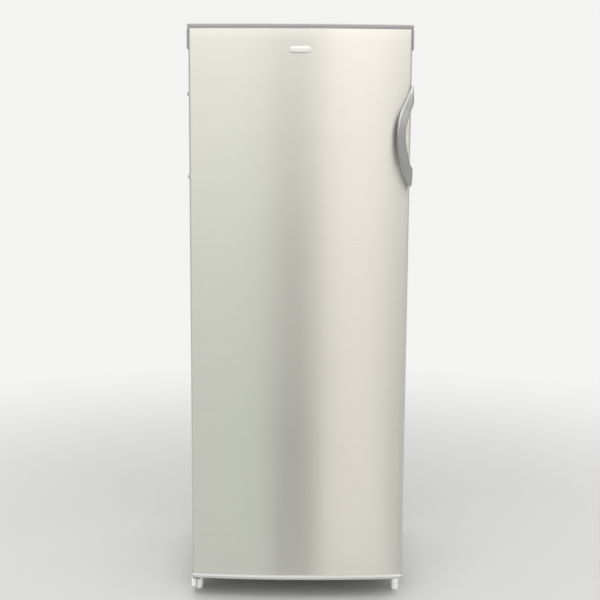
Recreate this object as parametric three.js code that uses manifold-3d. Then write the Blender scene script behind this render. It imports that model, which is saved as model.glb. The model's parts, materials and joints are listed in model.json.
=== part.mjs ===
// Upright freezer with one left-hung door: a sheet steel cabinet round a foamed plastic liner, four
// drawers and a top flap on tube shelves, and a bowed steel door between two plastic end caps.
// Millimetres, +Z up, front towards -Y, origin on the floor under the middle of the whole object.
// Inside the group, y is the depth behind the door's front corners.
import * as THREE from "three";
import { mergeVertices } from "three/addons/utils/BufferGeometryUtils.js";
import Module from "manifold-3d";

const wasm = await Module();
wasm.setup();

// ---------------------------------------------------------------- driving dimensions
const totalHeight = 1448;
const gap = 0.3; // between pieces that are fixed to each other
const sheet = 1; // steel sheet of the cabinet and the door
const plastic = 2.5; // moulded wall

const capWidth = 545; // over the door's plastic end caps, the widest place

// cabinet
const cabinetInset = 2.5; // end cap's side to the cabinet's
const cabinetWidth = capWidth - 2 * cabinetInset;
const cabinetDepth = 500; // front frame to back panel
const cabinetUnderside = 42; // floor to the lower edge of the side sheets
const baseHeight = 16; // side sheets' lower edge to the top of the base plate
const worktopHeight = 25;
const wallInsulation = 55; // outside of a side sheet to the inside of the liner
const ceilingInsulation = 50;
const floorInsulation = 54;
const backInsulation = 50;
const frontFrameWidth = 42; // steel frame that the door seal's magnet holds to
const linerCorner = 8;
const bayHeight = 248; // compressor bay, open to the rear
const bayDepth = 190;
const bayInsulation = 40;

// shelves, drawers and flap
const drawerCount = 4;
const flapCompartment = 140; // ceiling to the top shelf
const shelfTube = 4; // radius
const shelfRuns = 7;
const shelfFrontMargin = 14; // drawer fronts to the first run
const shelfRearMargin = 36; // last run to the liner's rear wall
const shelfSideMargin = 8; // tube's bends to the liner's side walls
const ledgeWidth = 15;
const ledgeHeight = 8;
const fittingsRecess = 40; // cabinet front to drawer fronts
const drawerSideClearance = 3;
const drawerHeadroom = 26; // over a drawer front, up to the shelf's middle
const drawerFront = 4;
const drawerCorner = 14;
const binInset = 6; // drawer front's edge to the bin's side
const binHeight = 190;
const binRearClearance = 15;
const gripWidth = 180;
const gripHeight = 30;
const gripReach = 8;
const flapThickness = 4;
const flapHeight = 125;
const flapPin = 4; // radius
const flapPinDrop = 5; // flap's upper edge to its pins
const flapTopClearance = 13; // ceiling to the flap's upper edge

// door
const capLap = 3.5; // end cap's side to the skin's
const skinWidth = capWidth - 2 * capLap;
const doorThickness = 50; // front corners to the flat rim behind
const doorBow = 12.7; // rise of the front at its middle
const doorCorner = 8; // radius of the skin's upright edges
const doorUnderside = 60;
const capOverhang = 2; // end caps stand this far in front of the skin
const rimHeight = 9; // rim above the top cap's deck
const bottomCapHeight = 14;
const topWingDrop = 48;
const bottomWingRise = 6;
const wingFront = 5;
const wingRear = 48;
const wingCorner = 6;
const plinthInset = 25; // liner mouth to the plinth, at both sides
const plinthDepth = 25;
const plinthMargin = 15; // liner mouth to the plinth, above and below
const sealHeight = 10; // door rim to cabinet front
const sealWidth = 16;
const sealOverlap = 38; // seal's outer edge beyond the liner's mouth
const badgeWidth = 51;
const badgeHeight = 15;
const badgeDrop = 61; // top of the door to the middle of the plate
const badgeThickness = 1;

// handle, screwed to the door's right side
const handleHeight = 240;
const handleDrop = 264; // top of the door to the handle's middle
const handleStandoff = 46; // front corners of the door to the bow's front
const handleThickness = 12;
const handleReach = 40; // outer arc's rise from the door's side towards its middle
const handleBand = 20; // width of the bow at its middle
const handleGapHeight = 112; // inner arc, end to end
const handleGapRise = 11;
const handleTipDepth = 20; // bow's front at the tips
const handleFoot = 36; // height of each foot on the door's side
const handleFootDepth = 26;
const handleWall = 3;
const fixingPitch = 199; // between the two screws, and between the two plugs
const fixingDepth = 14;

// hinges
const hingeInset = 14.5; // end cap's side to the pin
const hingeDepth = 30;
const hingePin = 4; // radius
const bushWall = 2.1;
const bushLength = 22;
const bossWall = 2.7;
const runningFit = 0.1;
const hingePlate = 3;
const tongueHalfWidth = 8;
const bracketWidth = 56;
const bracketDepth = 50;
const pocketMargin = 1.5;
const coverTop = 2;
const lowerBracketWidth = 52;
const lowerBracketFront = 16;
const flangeRear = 112;
const flangeFoot = 9; // floor to the flange's lower edge
const lipWidth = 10; // front edge of the flange, turned in
const lipHeight = 29;
const flangeSheet = 2;

// what the freezer stands on
const footRadius = 9.75;
const footRounding = 6.5;
const footInset = 12.5; // cabinet's side to the foot's middle
const footDepth = 75;
const stemRadius = 4;
const stemLength = 15;
const footTopClearance = 2;
const rollerRadius = 15;
const rollerWidth = 16;
const rollerInset = 29;
const rollerFromRear = 25;
const axleRadius = 3;
const cheekSheet = 2.5;
const cheekHalfDepth = 12;
const cheekReach = 9; // below the axle

// refrigerant circuit and electrics
const compressorRadius = 72;
const compressorHeight = 165;
const compressorX = 55;
const compressorFromRear = 98;
const mountPlateHalfWidth = 95;
const mountPlateHalfDepth = 62;
const mountPlate = 3;
const grommetRadius = 10;
const grommetHeight = 12;
const grommetNeck = 5.5;
const grommetX = 82;
const grommetY = 50;
const condenserTube = 2.75;
const condenserRuns = 11;
const condenserMargin = 70; // cabinet's side to the runs' ends
const condenserTopDrop = 92; // top of the wrap to the highest run
const condenserRise = 111; // bay's ceiling to the lowest run
const condenserTail = 60; // lowest run to the tube's two ends
const riserOffset = 24; // runs' ends to the riser
const condenserBend = 12;
const wireInset = 20;
const wireDrop = 12; // lowest run to the wires' lower ends
const wireRise = 8;
const condenserStandoff = 14; // back panel to the tube's middle
const wireSide = 2;
const wireCount = 8;
const spacerLength = 28.7;
const spacerWidth = 24;
const spacerInset = 46; // runs' ends to a spacer's middle
const lineTube = 4; // radius of the suction and discharge lines
const dischargeLift = 60; // compressor's base to the discharge line
const dischargeReach = 45; // shell to the line's first bend
const dischargeBend = 14;
const suctionOffset = 40; // shell's middle to the suction line
const suctionStep = 80; // sideways run under the bay's ceiling
const suctionDrop = 25; // bay's ceiling to that run
const suctionSeat = 11; // shell's crown to the line's end
const suctionBend = 11;
const drierRadius = 9;
const drierLength = 90;
const relayDepth = 32;
const relayWidth = 44;
const relayHeight = 70;
const glandRadius = 8;
const glandLength = 15;
const housingWidth = 120;
const housingDepth = 60;
const housingHeight = 24;
const housingFromSide = 95; // liner's side wall to the housing's middle
const housingFromFlap = 21;
const knobRadius = 11;
const knobLength = 11;
const knobShaft = 3;
const knobShaftLength = 10;

// ---------------------------------------------------------------- derived places
const cabinetFront = doorThickness + sealHeight;
const cabinetRear = cabinetFront + cabinetDepth;
const panelRear = cabinetRear + gap + sheet;
const rearmost = panelRear + gap + spacerLength;
const foremost = -handleStandoff;
const halfCabinet = cabinetWidth / 2;
const halfCap = capWidth / 2;
const halfSkin = skinWidth / 2;
const wrapTop = totalHeight - worktopHeight;
const basePlateTop = cabinetUnderside + baseHeight;
const halfCavity = halfCabinet - wallInsulation;
const cavityFloor = basePlateTop + floorInsulation;
const cavityTop = wrapTop - ceilingInsulation;
const cavityRear = cabinetRear - backInsulation;
const bayTop = cabinetUnderside + bayHeight;
const bayFront = cabinetRear - bayDepth;
const humpTop = bayTop + bayInsulation;
const humpFront = bayFront - backInsulation;
const fittingsFront = cabinetFront + fittingsRecess;
const drawerPitch = (cavityTop - flapCompartment - cavityFloor) / drawerCount;
const shelfFront = fittingsFront + shelfFrontMargin;
const shelfPitch = (cavityRear - shelfRearMargin - shelfFront) / (shelfRuns - 1);
const shelfLevel = (i) => cavityFloor + i * drawerPitch;
const ledgeTop = (i) => shelfLevel(i) - shelfTube - gap;
const frameInner = halfCabinet - frontFrameWidth;
const frameMargin = frameInner - halfCavity;
const deckTop = totalHeight - rimHeight;
const deckUnderside = deckTop - plastic;
const skinTop = deckUnderside - gap;
const skinBottom = doorUnderside + bottomCapHeight + gap;
const wingInner = halfSkin + gap;
const hingeX = -halfCap + hingeInset;
const bushRadius = hingePin + bushWall;
const bossRadius = bushRadius + gap + bossWall;
const pocketFloor = deckTop + 1;
const bracketUnderside = pocketFloor + gap;
const bracketTop = bracketUnderside + hingePlate;
const lowerTongueTop = doorUnderside - 1;
const handleMiddle = totalHeight - handleDrop;
const handleOuter = halfCap - 0.2;
const footX = halfCabinet - footInset;
const rollerX = halfCabinet - rollerInset;
const rollerY = cabinetRear - rollerFromRear;
const compressorY = cabinetRear - compressorFromRear;
const trayTop = cabinetUnderside + plastic;
const mountPlateBottom = trayTop + grommetHeight + 2 * gap;
const condenserY = panelRear + condenserStandoff;
const condenserTop = wrapTop - condenserTopDrop;
const condenserBottom = bayTop + condenserRise;
const condenserPitch = (condenserTop - condenserBottom) / (condenserRuns - 1);
const condenserWidth = cabinetWidth - 2 * condenserMargin;
const condenserEnds = condenserBottom - condenserTail;
const spacerX = condenserWidth / 2 - spacerInset;
const plinthHalfWidth = halfCavity - plinthInset;
const housingX = halfCavity - housingFromSide;

// ---------------------------------------------------------------- materials
function finish(color, roughness, metalness, opacity = 1) {
  const transparent = opacity < 1;
  return new THREE.MeshStandardMaterial({ color, roughness, metalness, opacity, transparent });
}
const stainless = finish(0xc9c6be, 0.32, 1);
const capGrey = finish(0x9ea19f, 0.4, 0);
const handleGrey = finish(0x8f9292, 0.22, 0);
const whitePaint = finish(0xe4e4e0, 0.4, 0);
const whitePlastic = finish(0xecebe6, 0.45, 0);
const linerWhite = finish(0xeeeeea, 0.35, 0);
const drawerPlastic = finish(0xdfe6ea, 0.25, 0, 0.6);
const zincSteel = finish(0xa9abab, 0.4, 1);
const plainPlate = finish(0xb9bab8, 0.3, 1);
const sealRubber = finish(0xb9bab8, 0.7, 0);
const blackRubber = finish(0x1c1c1c, 0.85, 0);
const blackPaint = finish(0x17181a, 0.45, 0);
const blackPlastic = finish(0x222325, 0.55, 0);
const copper = finish(0xb87048, 0.35, 1);
const coatedTube = finish(0xd8dad9, 0.4, 0.3);
const foam = finish(0xe0cd92, 0.95, 0);

// ---------------------------------------------------------------- solids
const unitX = new THREE.Vector3(1, 0, 0);
const unitY = new THREE.Vector3(0, 1, 0);
const unitZ = new THREE.Vector3(0, 0, 1);

// A geometry as a solid: shared vertices merged, and the triangles that closed up at a pole dropped.
function solid(geometry) {
  geometry.deleteAttribute("normal");
  geometry.deleteAttribute("uv");
  const merged = mergeVertices(geometry, 1e-4);
  const index = merged.index.array;
  const kept = [];
  for (let i = 0; i < index.length; i += 3) {
    const [a, b, c] = index.slice(i, i + 3);
    if (a !== b && b !== c && c !== a) kept.push(a, b, c);
  }
  const vertProperties = merged.attributes.position.array;
  return new wasm.Manifold(new wasm.Mesh({ numProp: 3, vertProperties, triVerts: new Uint32Array(kept) }));
}

function geometryOf(body) {
  const mesh = body.getMesh();
  const geometry = new THREE.BufferGeometry();
  geometry.setAttribute("position", new THREE.BufferAttribute(mesh.vertProperties, 3));
  geometry.setIndex(new THREE.BufferAttribute(mesh.triVerts, 1));
  geometry.computeVertexNormals();
  return geometry;
}

const join = (first, ...others) => others.reduce((all, other) => all.add(other), first);
const cut = (first, ...others) => others.reduce((rest, other) => rest.subtract(other), first);

function block([x0, x1], [y0, y1], [z0, z1]) {
  const geometry = new THREE.BoxGeometry(x1 - x0, y1 - y0, z1 - z0);
  return solid(geometry.translate((x0 + x1) / 2, (y0 + y1) / 2, (z0 + z1) / 2));
}

// Outlines carried along an axis: (x, y) upwards, (x, z) backwards, (y, z) to the right.
function prism(shape, from, to, curveSegments) {
  return new THREE.ExtrudeGeometry(shape, { depth: to - from, bevelEnabled: false, curveSegments });
}
function upwards(shape, [z0, z1], segments = 2) {
  return solid(prism(shape, z0, z1, segments).translate(0, 0, z0));
}
function backwards(shape, [y0, y1], segments = 2) {
  return solid(prism(shape, y0, y1, segments).rotateX(Math.PI / 2).translate(0, y1, 0));
}
function rightwards(shape, [x0, x1], segments = 2) {
  const turn = new THREE.Matrix4().makeBasis(unitY, unitZ, unitX);
  return solid(prism(shape, x0, x1, segments).applyMatrix4(turn).translate(x0, 0, 0));
}

function roundedBox([u0, u1], [v0, v1], radius) {
  const shape = new THREE.Shape();
  shape.absarc(u1 - radius, v0 + radius, radius, -Math.PI / 2, 0);
  shape.absarc(u1 - radius, v1 - radius, radius, 0, Math.PI / 2);
  shape.absarc(u0 + radius, v1 - radius, radius, Math.PI / 2, Math.PI);
  shape.absarc(u0 + radius, v0 + radius, radius, Math.PI, 1.5 * Math.PI);
  return shape;
}

function polygon(points) {
  return new THREE.Shape(points.map(([u, v]) => new THREE.Vector2(u, v)));
}

// A turned piece: profile points are [radius, height] up the axis, from the axis round to the axis.
function turned(profile, axis = unitZ, sides = 24) {
  const points = profile.map(([radius, height]) => new THREE.Vector2(radius, height));
  const geometry = new THREE.LatheGeometry(points, sides);
  const turn = new THREE.Quaternion().setFromUnitVectors(unitY, axis);
  return solid(geometry.applyQuaternion(turn));
}

function rod(radius, [low, high], axis = unitZ, sides = 24) {
  return turned([[0, low], [radius, low], [radius, high], [0, high]], axis, sides);
}

function tubeOf(outer, inner, [low, high], axis = unitZ, sides = 24) {
  return cut(rod(outer, [low, high], axis, sides), rod(inner, [low - 1, high + 1], axis, sides));
}

// A tube's centre line, with one ring of vertices at each listed point.
class BentPath extends THREE.Curve {
  constructor(points) {
    super();
    this.points = points;
  }
  getPoint(t, target = new THREE.Vector3()) {
    const last = this.points.length - 1;
    const i = Math.min(Math.floor(t * last + 1e-9), last - 1);
    return target.lerpVectors(this.points[i], this.points[i + 1], t * last - i);
  }
  getPointAt(u, target) {
    return this.getPoint(u, target);
  }
  getTangentAt(u, target = new THREE.Vector3()) {
    const at = Math.round(u * (this.points.length - 1));
    const before = this.points[Math.max(at - 1, 0)];
    const after = this.points[Math.min(at + 1, this.points.length - 1)];
    const here = this.points[at];
    const arriving = here.clone().sub(before).normalize();
    const leaving = after.clone().sub(here).normalize();
    return target.addVectors(arriving, leaving).normalize();
  }
}

// Corner points joined by straight runs, each corner rounded to the bend radius.
function bent(corners, bend, steps) {
  const points = corners.map((c) => new THREE.Vector3(...c));
  const path = [points[0]];
  for (let i = 1; i < points.length - 1; i++) {
    const inward = points[i - 1].clone().sub(points[i]).normalize();
    const outward = points[i + 1].clone().sub(points[i]).normalize();
    const half = inward.angleTo(outward) / 2;
    const centre = inward.clone().add(outward).normalize().multiplyScalar(bend / Math.sin(half)).add(points[i]);
    const start = inward.clone().multiplyScalar(bend / Math.tan(half)).add(points[i]).sub(centre);
    const axis = new THREE.Vector3().crossVectors(outward, inward).normalize();
    const turn = Math.PI - 2 * half;
    for (let k = 0; k <= steps; k++) {
      path.push(start.clone().applyAxisAngle(axis, (turn * k) / steps).add(centre));
    }
  }
  path.push(points.at(-1));
  return path;
}

function pipe(path, radius, sides = 8) {
  const section = new THREE.Shape();
  section.absarc(0, 0, radius, 0, 2 * Math.PI);
  const options = { steps: path.length - 1, extrudePath: new BentPath(path), curveSegments: sides / 2 };
  return solid(new THREE.ExtrudeGeometry(section, options));
}

// A tube that runs to and fro: runs along X, stepping by the pitch along the given direction.
function serpentine(start, halfWidth, step, runs) {
  const corners = [];
  for (let i = 0; i < runs; i++) {
    const side = i % 2 === 0 ? 1 : -1;
    const row = step.clone().multiplyScalar(i).add(start);
    corners.push([-side * halfWidth, row.y, row.z], [side * halfWidth, row.y, row.z]);
  }
  return corners;
}

// ---------------------------------------------------------------- scene graph
const freezer = new THREE.Group();
freezer.position.y = -(rearmost + foremost) / 2;
const cabinet = new THREE.Group();
const door = new THREE.Group();
freezer.add(cabinet, door);

function place(group, name, body, material, [x, y, z] = [0, 0, 0]) {
  const mesh = new THREE.Mesh(geometryOf(body), material);
  mesh.name = name;
  mesh.position.set(x, y, z);
  group.add(mesh);
}

const sides = [["left", -1], ["right", 1]];

// ---------------------------------------------------------------- cabinet shell
const linerWall = 2;
const lowerScrewZ = cabinetUnderside + 4.5;
const lowerScrews = [hingeX + 16, hingeX + 30];
const screwRadius = 2.5;
const screwHole = screwRadius + gap;
const screwHead = 4.5;
const screwLength = 16;

function outerWrap() {
  const outside = block([-halfCabinet, halfCabinet], [cabinetFront, cabinetRear], [cabinetUnderside, wrapTop]);
  const inner = halfCabinet - sheet;
  const inside = block([-inner, inner], [cabinetFront + sheet, cabinetRear + 1], [0, wrapTop - sheet]);
  const mouth = block(
    [-frameInner, frameInner],
    [cabinetFront - 1, cabinetFront + sheet + 1],
    [cavityFloor - frameMargin, cavityTop + frameMargin],
  );
  const holes = lowerScrews.map((x) =>
    rod(screwHole, [cabinetFront - 1, cabinetFront + sheet + 1], unitY).translate([x, 0, lowerScrewZ]),
  );
  return cut(outside, inside, mouth, ...holes);
}
place(cabinet, "outer_wrap", outerWrap(), whitePaint);

// The liner's hollow: full depth above the compressor bay, shallow in front of it.
function hollow(grow, front) {
  const half = halfCavity + grow;
  const radius = linerCorner + grow;
  const upper = roundedBox([-half, half], [humpTop - grow, cavityTop + grow], radius);
  const lower = roundedBox([-half, half], [cavityFloor - grow, humpTop + 3 * linerCorner + grow], radius);
  return join(
    backwards(upper, [front, cavityRear + grow]),
    backwards(lower, [front, humpFront + grow]),
  );
}

function innerLiner() {
  const rimHalf = frameInner - gap;
  const rimSpan = [cavityFloor - frameMargin + gap, cavityTop + frameMargin - gap];
  const rim = block([-rimHalf, rimHalf], [cabinetFront, cabinetFront + linerWall], rimSpan);
  const shell = cut(join(rim, hollow(linerWall, cabinetFront)), hollow(0, cabinetFront - 1));
  const ledges = [];
  for (let i = 1; i <= drawerCount; i++) {
    for (const [, side] of sides) {
      const across = [side * (halfCavity - ledgeWidth), side * (halfCavity + 1)].sort((a, b) => a - b);
      ledges.push(block(across, [fittingsFront + 5, cavityRear - 5], [ledgeTop(i) - ledgeHeight, ledgeTop(i)]));
    }
  }
  const pinHoles = rod(flapPin + runningFit, [-halfCavity - 10, halfCavity + 10], unitX);
  return cut(join(shell, ...ledges), pinHoles.translate([0, flapAxisY, flapAxisZ]));
}
const flapTop = cavityTop - flapTopClearance;
const flapAxisZ = flapTop - flapPinDrop;
const flapAxisY = fittingsFront + flapThickness;
place(cabinet, "inner_liner", innerLiner(), linerWhite);

function cabinetFoam() {
  const half = halfCabinet - sheet - gap;
  const full = block(
    [-half, half],
    [cabinetFront + linerWall + gap, cabinetRear],
    [basePlateTop + gap, wrapTop - sheet - gap],
  );
  const bay = block([-halfCabinet, halfCabinet], [bayFront, cabinetRear + 1], [0, bayTop]);
  return cut(full, bay, hollow(linerWall + gap, cabinetFront));
}
place(cabinet, "cabinet_foam", cabinetFoam(), foam);

// One folded sheet: down the back, forward over the compressor bay and down the bay's front.
function backPanel() {
  const half = halfCabinet - sheet - gap;
  const ceiling = [bayTop - gap - sheet, bayTop - gap];
  const bayWall = [bayFront + gap, bayFront + gap + sheet];
  return join(
    block([-halfCabinet, halfCabinet], [cabinetRear + gap, panelRear], [ceiling[0], wrapTop]),
    block([-half, half], [bayWall[0], panelRear], ceiling),
    block([-half, half], bayWall, [basePlateTop + gap, ceiling[1]]),
  );
}
place(cabinet, "back_panel", backPanel(), whitePaint);

// ---------------------------------------------------------------- worktop and upper hinge
const pocketLeft = -halfCabinet + plastic;
const bracketLeft = hingeX - tongueHalfWidth;
const bracketRight = bracketLeft + bracketWidth;
const bracketFront = cabinetFront + pocketMargin;
const bracketRear = bracketFront + bracketDepth;
const pocketRight = bracketRight + pocketMargin;
const pocketRear = bracketRear + pocketMargin;
const upperScrews = [bracketLeft + 14, bracketRight - 12];
const upperScrewY = (bracketFront + bracketRear) / 2;

function worktop() {
  const low = wrapTop + gap;
  const rear = panelRear;
  const outline = roundedBox([-halfCabinet, halfCabinet], [cabinetFront, rear], 3);
  const slab = upwards(outline, [low, totalHeight]);
  const wall = plastic;
  const under = block(
    [-halfCabinet + wall, halfCabinet - wall],
    [cabinetFront + wall, rear - wall],
    [low - 1, totalHeight - wall],
  );
  const seat = block(
    [-halfCabinet + wall / 2, pocketRight + wall],
    [cabinetFront + wall / 2, pocketRear + wall],
    [low, totalHeight - wall / 2],
  );
  const pocket = block([pocketLeft, pocketRight], [cabinetFront - 1, pocketRear], [pocketFloor, totalHeight + 1]);
  const holes = upperScrews.map((x) => rod(screwHole, [low - 1, totalHeight]).translate([x, upperScrewY, 0]));
  return cut(join(cut(slab, under), seat), pocket, ...holes);
}
place(cabinet, "worktop", worktop(), whitePlastic);

function topHingeBracket() {
  const thick = [bracketUnderside, bracketTop];
  const plate = block([bracketLeft, bracketRight], [bracketFront, bracketRear], thick);
  const tongue = block([bracketLeft, bracketLeft + 2 * tongueHalfWidth], [hingeDepth, bracketFront + 1], thick);
  const nose = rod(tongueHalfWidth, thick).translate([hingeX, hingeDepth, 0]);
  const pinHole = rod(hingePin + gap, [thick[0] - 1, thick[1] + 1]).translate([hingeX, hingeDepth, 0]);
  const holes = upperScrews.map((x) =>
    rod(screwHole, [thick[0] - 1, thick[1] + 1]).translate([x, upperScrewY, 0]),
  );
  return cut(join(plate, tongue, nose), pinHole, ...holes);
}
place(cabinet, "top_hinge_bracket", topHingeBracket(), zincSteel);

const pinHead = 1.5;
const pinDown = bushLength - 2;
const topPin = turned([
  [0, -pinDown],
  [hingePin, -pinDown],
  [hingePin, hingePlate + bracketUnderside - deckTop + gap],
  [hingePin + 2, hingePlate + bracketUnderside - deckTop + gap],
  [hingePin + 2, hingePlate + bracketUnderside - deckTop + gap + pinHead],
  [0, hingePlate + bracketUnderside - deckTop + gap + pinHead],
]);
place(cabinet, "top_hinge_pin", topPin, zincSteel, [hingeX, hingeDepth, deckTop]);

const headHeight = 2;
const panScrew = turned([
  [0, -screwLength],
  [screwRadius, -screwLength],
  [screwRadius, 0],
  [screwHead, 0],
  [screwHead, headHeight / 2],
  [screwHead - 1.5, headHeight],
  [0, headHeight],
], unitZ, 12);
upperScrews.forEach((x, i) => {
  place(cabinet, `top_hinge_screw_${i + 1}`, panScrew, zincSteel, [x, upperScrewY, bracketTop + gap]);
});

function hingeCover() {
  const low = bracketTop + gap;
  const [left, right] = [pocketLeft + gap, pocketRight - gap];
  const rear = pocketRear - gap;
  const lid = block([left, right], [cabinetFront, rear], [low, totalHeight]);
  const under = block(
    [left + plastic, right - plastic],
    [cabinetFront + plastic, rear - plastic],
    [low - 1, totalHeight - coverTop],
  );
  return cut(lid, under);
}
place(cabinet, "hinge_cover", hingeCover(), whitePlastic);

// ---------------------------------------------------------------- lower hinge
const lowerBracketLeft = -halfCap + 0.2;
const lowerBracketRight = lowerBracketLeft + lowerBracketWidth;
const lowerPlateRear = cabinetFront - gap;

function bottomHingeBracket() {
  const tongue = block(
    [lowerBracketLeft, hingeX + 2.2 * tongueHalfWidth],
    [lowerBracketFront, lowerPlateRear],
    [lowerTongueTop - hingePlate, lowerTongueTop],
  );
  const backPlate = block(
    [lowerBracketLeft, lowerBracketRight],
    [lowerPlateRear - hingePlate, lowerPlateRear],
    [cabinetUnderside - 5, lowerTongueTop],
  );
  const side = polygon([
    [lowerBracketFront, lowerTongueTop],
    [lowerBracketFront, lowerTongueTop - lipHeight],
    [cabinetFront, flangeFoot],
    [flangeRear, flangeFoot],
    [flangeRear, lowerTongueTop],
  ]);
  const flange = rightwards(side, [lowerBracketLeft, lowerBracketLeft + flangeSheet]);
  const lip = block(
    [lowerBracketLeft, lowerBracketLeft + lipWidth],
    [lowerBracketFront, lowerBracketFront + flangeSheet],
    [lowerTongueTop - lipHeight, lowerTongueTop],
  );
  const pinHole = rod(hingePin + gap, [0, doorUnderside]).translate([hingeX, hingeDepth, 0]);
  const holes = lowerScrews.map((x) =>
    rod(screwHole, [hingeDepth, cabinetFront + 1], unitY).translate([x, 0, lowerScrewZ]),
  );
  return cut(join(tongue, backPlate, flange, lip), pinHole, ...holes);
}
place(cabinet, "bottom_hinge_bracket", bottomHingeBracket(), whitePaint);

const nutHeight = 12;
const bottomPin = turned([
  [0, -hingePlate - gap - nutHeight],
  [hingePin + 1, -hingePlate - gap - nutHeight],
  [hingePin + 2.5, -hingePlate - gap - nutHeight + 2],
  [hingePin + 2.5, -hingePlate - gap],
  [hingePin, -hingePlate - gap],
  [hingePin, gap],
  [bushRadius, gap],
  [bushRadius, 2.4 * gap],
  [hingePin, 2.4 * gap],
  [hingePin, bushLength - 2],
  [0, bushLength - 2],
]);
place(cabinet, "bottom_hinge_pin", bottomPin, zincSteel, [hingeX, hingeDepth, lowerTongueTop]);

const frontScrew = panScrew.rotate([90, 0, 0]);
lowerScrews.forEach((x, i) => {
  const y = lowerPlateRear - hingePlate - gap;
  place(cabinet, `bottom_hinge_screw_${i + 1}`, frontScrew, zincSteel, [x, y, lowerScrewZ]);
});

// ---------------------------------------------------------------- base, feet and rollers
const runnerWidth = 6;
function baseFrame() {
  const half = halfCabinet - sheet - 2 * gap;
  const front = cabinetFront + sheet + 2 * gap;
  const rear = cabinetRear - 5;
  const underside = cabinetUnderside;
  const plate = block([-half, half], [front, bayFront], [basePlateTop - plastic, basePlateTop]);
  const riser = block([-half, half], [bayFront - plastic, bayFront], [underside, basePlateTop]);
  const tray = block([-half, half], [bayFront - plastic, rear], [underside, trayTop]);
  const pieces = [riser, tray];
  for (const [, side] of sides) {
    const across = [side * half, side * (half - runnerWidth)].sort((a, b) => a - b);
    pieces.push(block(across, [front, rear], [underside, basePlateTop - plastic / 2]));
    pieces.push(rod(footRadius, [underside, basePlateTop - 1]).translate([side * footX, footDepth, 0]));
    for (const cheek of [-1, 1]) {
      const inner = rollerX + cheek * (rollerWidth / 2 + 1);
      const outer = rollerX + cheek * (rollerWidth / 2 + 1 + cheekSheet);
      const span = [side * inner, side * outer].sort((a, b) => a - b);
      const depth = [rollerY - cheekHalfDepth, rollerY + cheekHalfDepth];
      pieces.push(block(span, depth, [rollerRadius - cheekReach, underside + 1]));
    }
  }
  // The front edge clears the lower hinge's screws.
  const screwRoom = lowerScrews.map((x) =>
    rod(screwRadius + 1, [cabinetFront, cabinetFront + screwLength + 2], unitY).translate([x, 0, lowerScrewZ]),
  );
  const holes = sides.flatMap(([, side]) => [
    rod(stemRadius + runningFit, [0, basePlateTop + 1]).translate([side * footX, footDepth, 0]),
    rod(axleRadius + gap, [-rollerWidth, rollerWidth], unitX).translate([side * rollerX, rollerY, rollerRadius]),
  ]);
  return cut(join(plate, ...pieces), ...screwRoom, ...holes);
}
place(cabinet, "base_frame", baseFrame(), zincSteel);

const footTop = cabinetUnderside - footTopClearance;
function frontFoot() {
  const profile = [[0, 0], [footRadius - footRounding, 0]];
  for (let k = 1; k <= 4; k++) {
    const angle = (Math.PI / 2) * (k / 4);
    profile.push([
      footRadius - footRounding * (1 - Math.sin(angle)),
      footRounding * (1 - Math.cos(angle)),
    ]);
  }
  profile.push([footRadius, footTop], [stemRadius, footTop]);
  profile.push([stemRadius, footTop + stemLength], [0, footTop + stemLength]);
  return turned(profile);
}

function rearRoller() {
  const half = rollerWidth / 2;
  const bevel = 1.5;
  const bore = axleRadius + runningFit + 0.05;
  const wheel = turned([
    [0, -half],
    [rollerRadius - bevel, -half],
    [rollerRadius, -half + bevel],
    [rollerRadius, half - bevel],
    [rollerRadius - bevel, half],
    [0, half],
  ], unitX);
  return cut(wheel, rod(bore, [-half - 1, half + 1], unitX));
}

function rollerAxle() {
  const half = rollerWidth / 2 + 1 + cheekSheet + gap;
  const head = 1.5;
  return turned([
    [0, -half - head],
    [axleRadius + 2, -half - head],
    [axleRadius + 2, -half],
    [axleRadius, -half],
    [axleRadius, half],
    [axleRadius + 2, half],
    [axleRadius + 2, half + head],
    [0, half + head],
  ], unitX);
}
for (const [name, side] of sides) {
  place(cabinet, `front_foot_${name}`, frontFoot(), whitePlastic, [side * footX, footDepth, 0]);
  place(cabinet, `rear_roller_${name}`, rearRoller(), blackPlastic, [side * rollerX, rollerY, rollerRadius]);
  place(cabinet, `roller_axle_${name}`, rollerAxle(), zincSteel, [side * rollerX, rollerY, rollerRadius]);
}

// ---------------------------------------------------------------- compressor and refrigerant circuit
function compressor() {
  const crown = 38;
  const profile = [[0, 0], [compressorRadius * 0.8, 0], [compressorRadius, 20]];
  for (let k = 0; k <= 6; k++) {
    const angle = (Math.PI / 2) * (k / 6);
    profile.push([
      Math.max(compressorRadius * Math.cos(angle), 0),
      compressorHeight - crown + crown * Math.sin(angle),
    ]);
  }
  const shell = turned(profile);
  const half = [mountPlateHalfWidth, mountPlateHalfDepth];
  const plate = upwards(roundedBox([-half[0], half[0]], [-half[1], half[1]], 12), [-mountPlate, 1]);
  const holes = [];
  for (const x of [-grommetX, grommetX]) {
    for (const y of [-grommetY, grommetY]) {
      holes.push(rod(grommetNeck + gap, [-mountPlate - 1, 3], unitZ, 12).translate([x, y, 0]));
    }
  }
  return cut(join(shell, plate), ...holes);
}
const compressorBase = mountPlateBottom + mountPlate;
place(cabinet, "compressor", compressor(), blackPaint, [compressorX, compressorY, compressorBase]);

const grommet = turned([
  [0, 0],
  [grommetRadius, 0],
  [grommetRadius, grommetHeight],
  [grommetNeck, grommetHeight],
  [grommetNeck, grommetHeight + mountPlate + 1 + 2 * gap],
  [grommetRadius - 1, grommetHeight + mountPlate + 1 + 2 * gap],
  [grommetRadius - 2, grommetHeight + mountPlate + 4],
  [0, grommetHeight + mountPlate + 4],
], unitZ, 12);
const corners = [["front_left", -1, -1], ["front_right", 1, -1], ["rear_left", -1, 1], ["rear_right", 1, 1]];
for (const [name, across, along] of corners) {
  const at = [compressorX + across * grommetX, compressorY + along * grommetY, trayTop + gap];
  place(cabinet, `compressor_grommet_${name}`, grommet, blackRubber, at);
}

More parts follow.
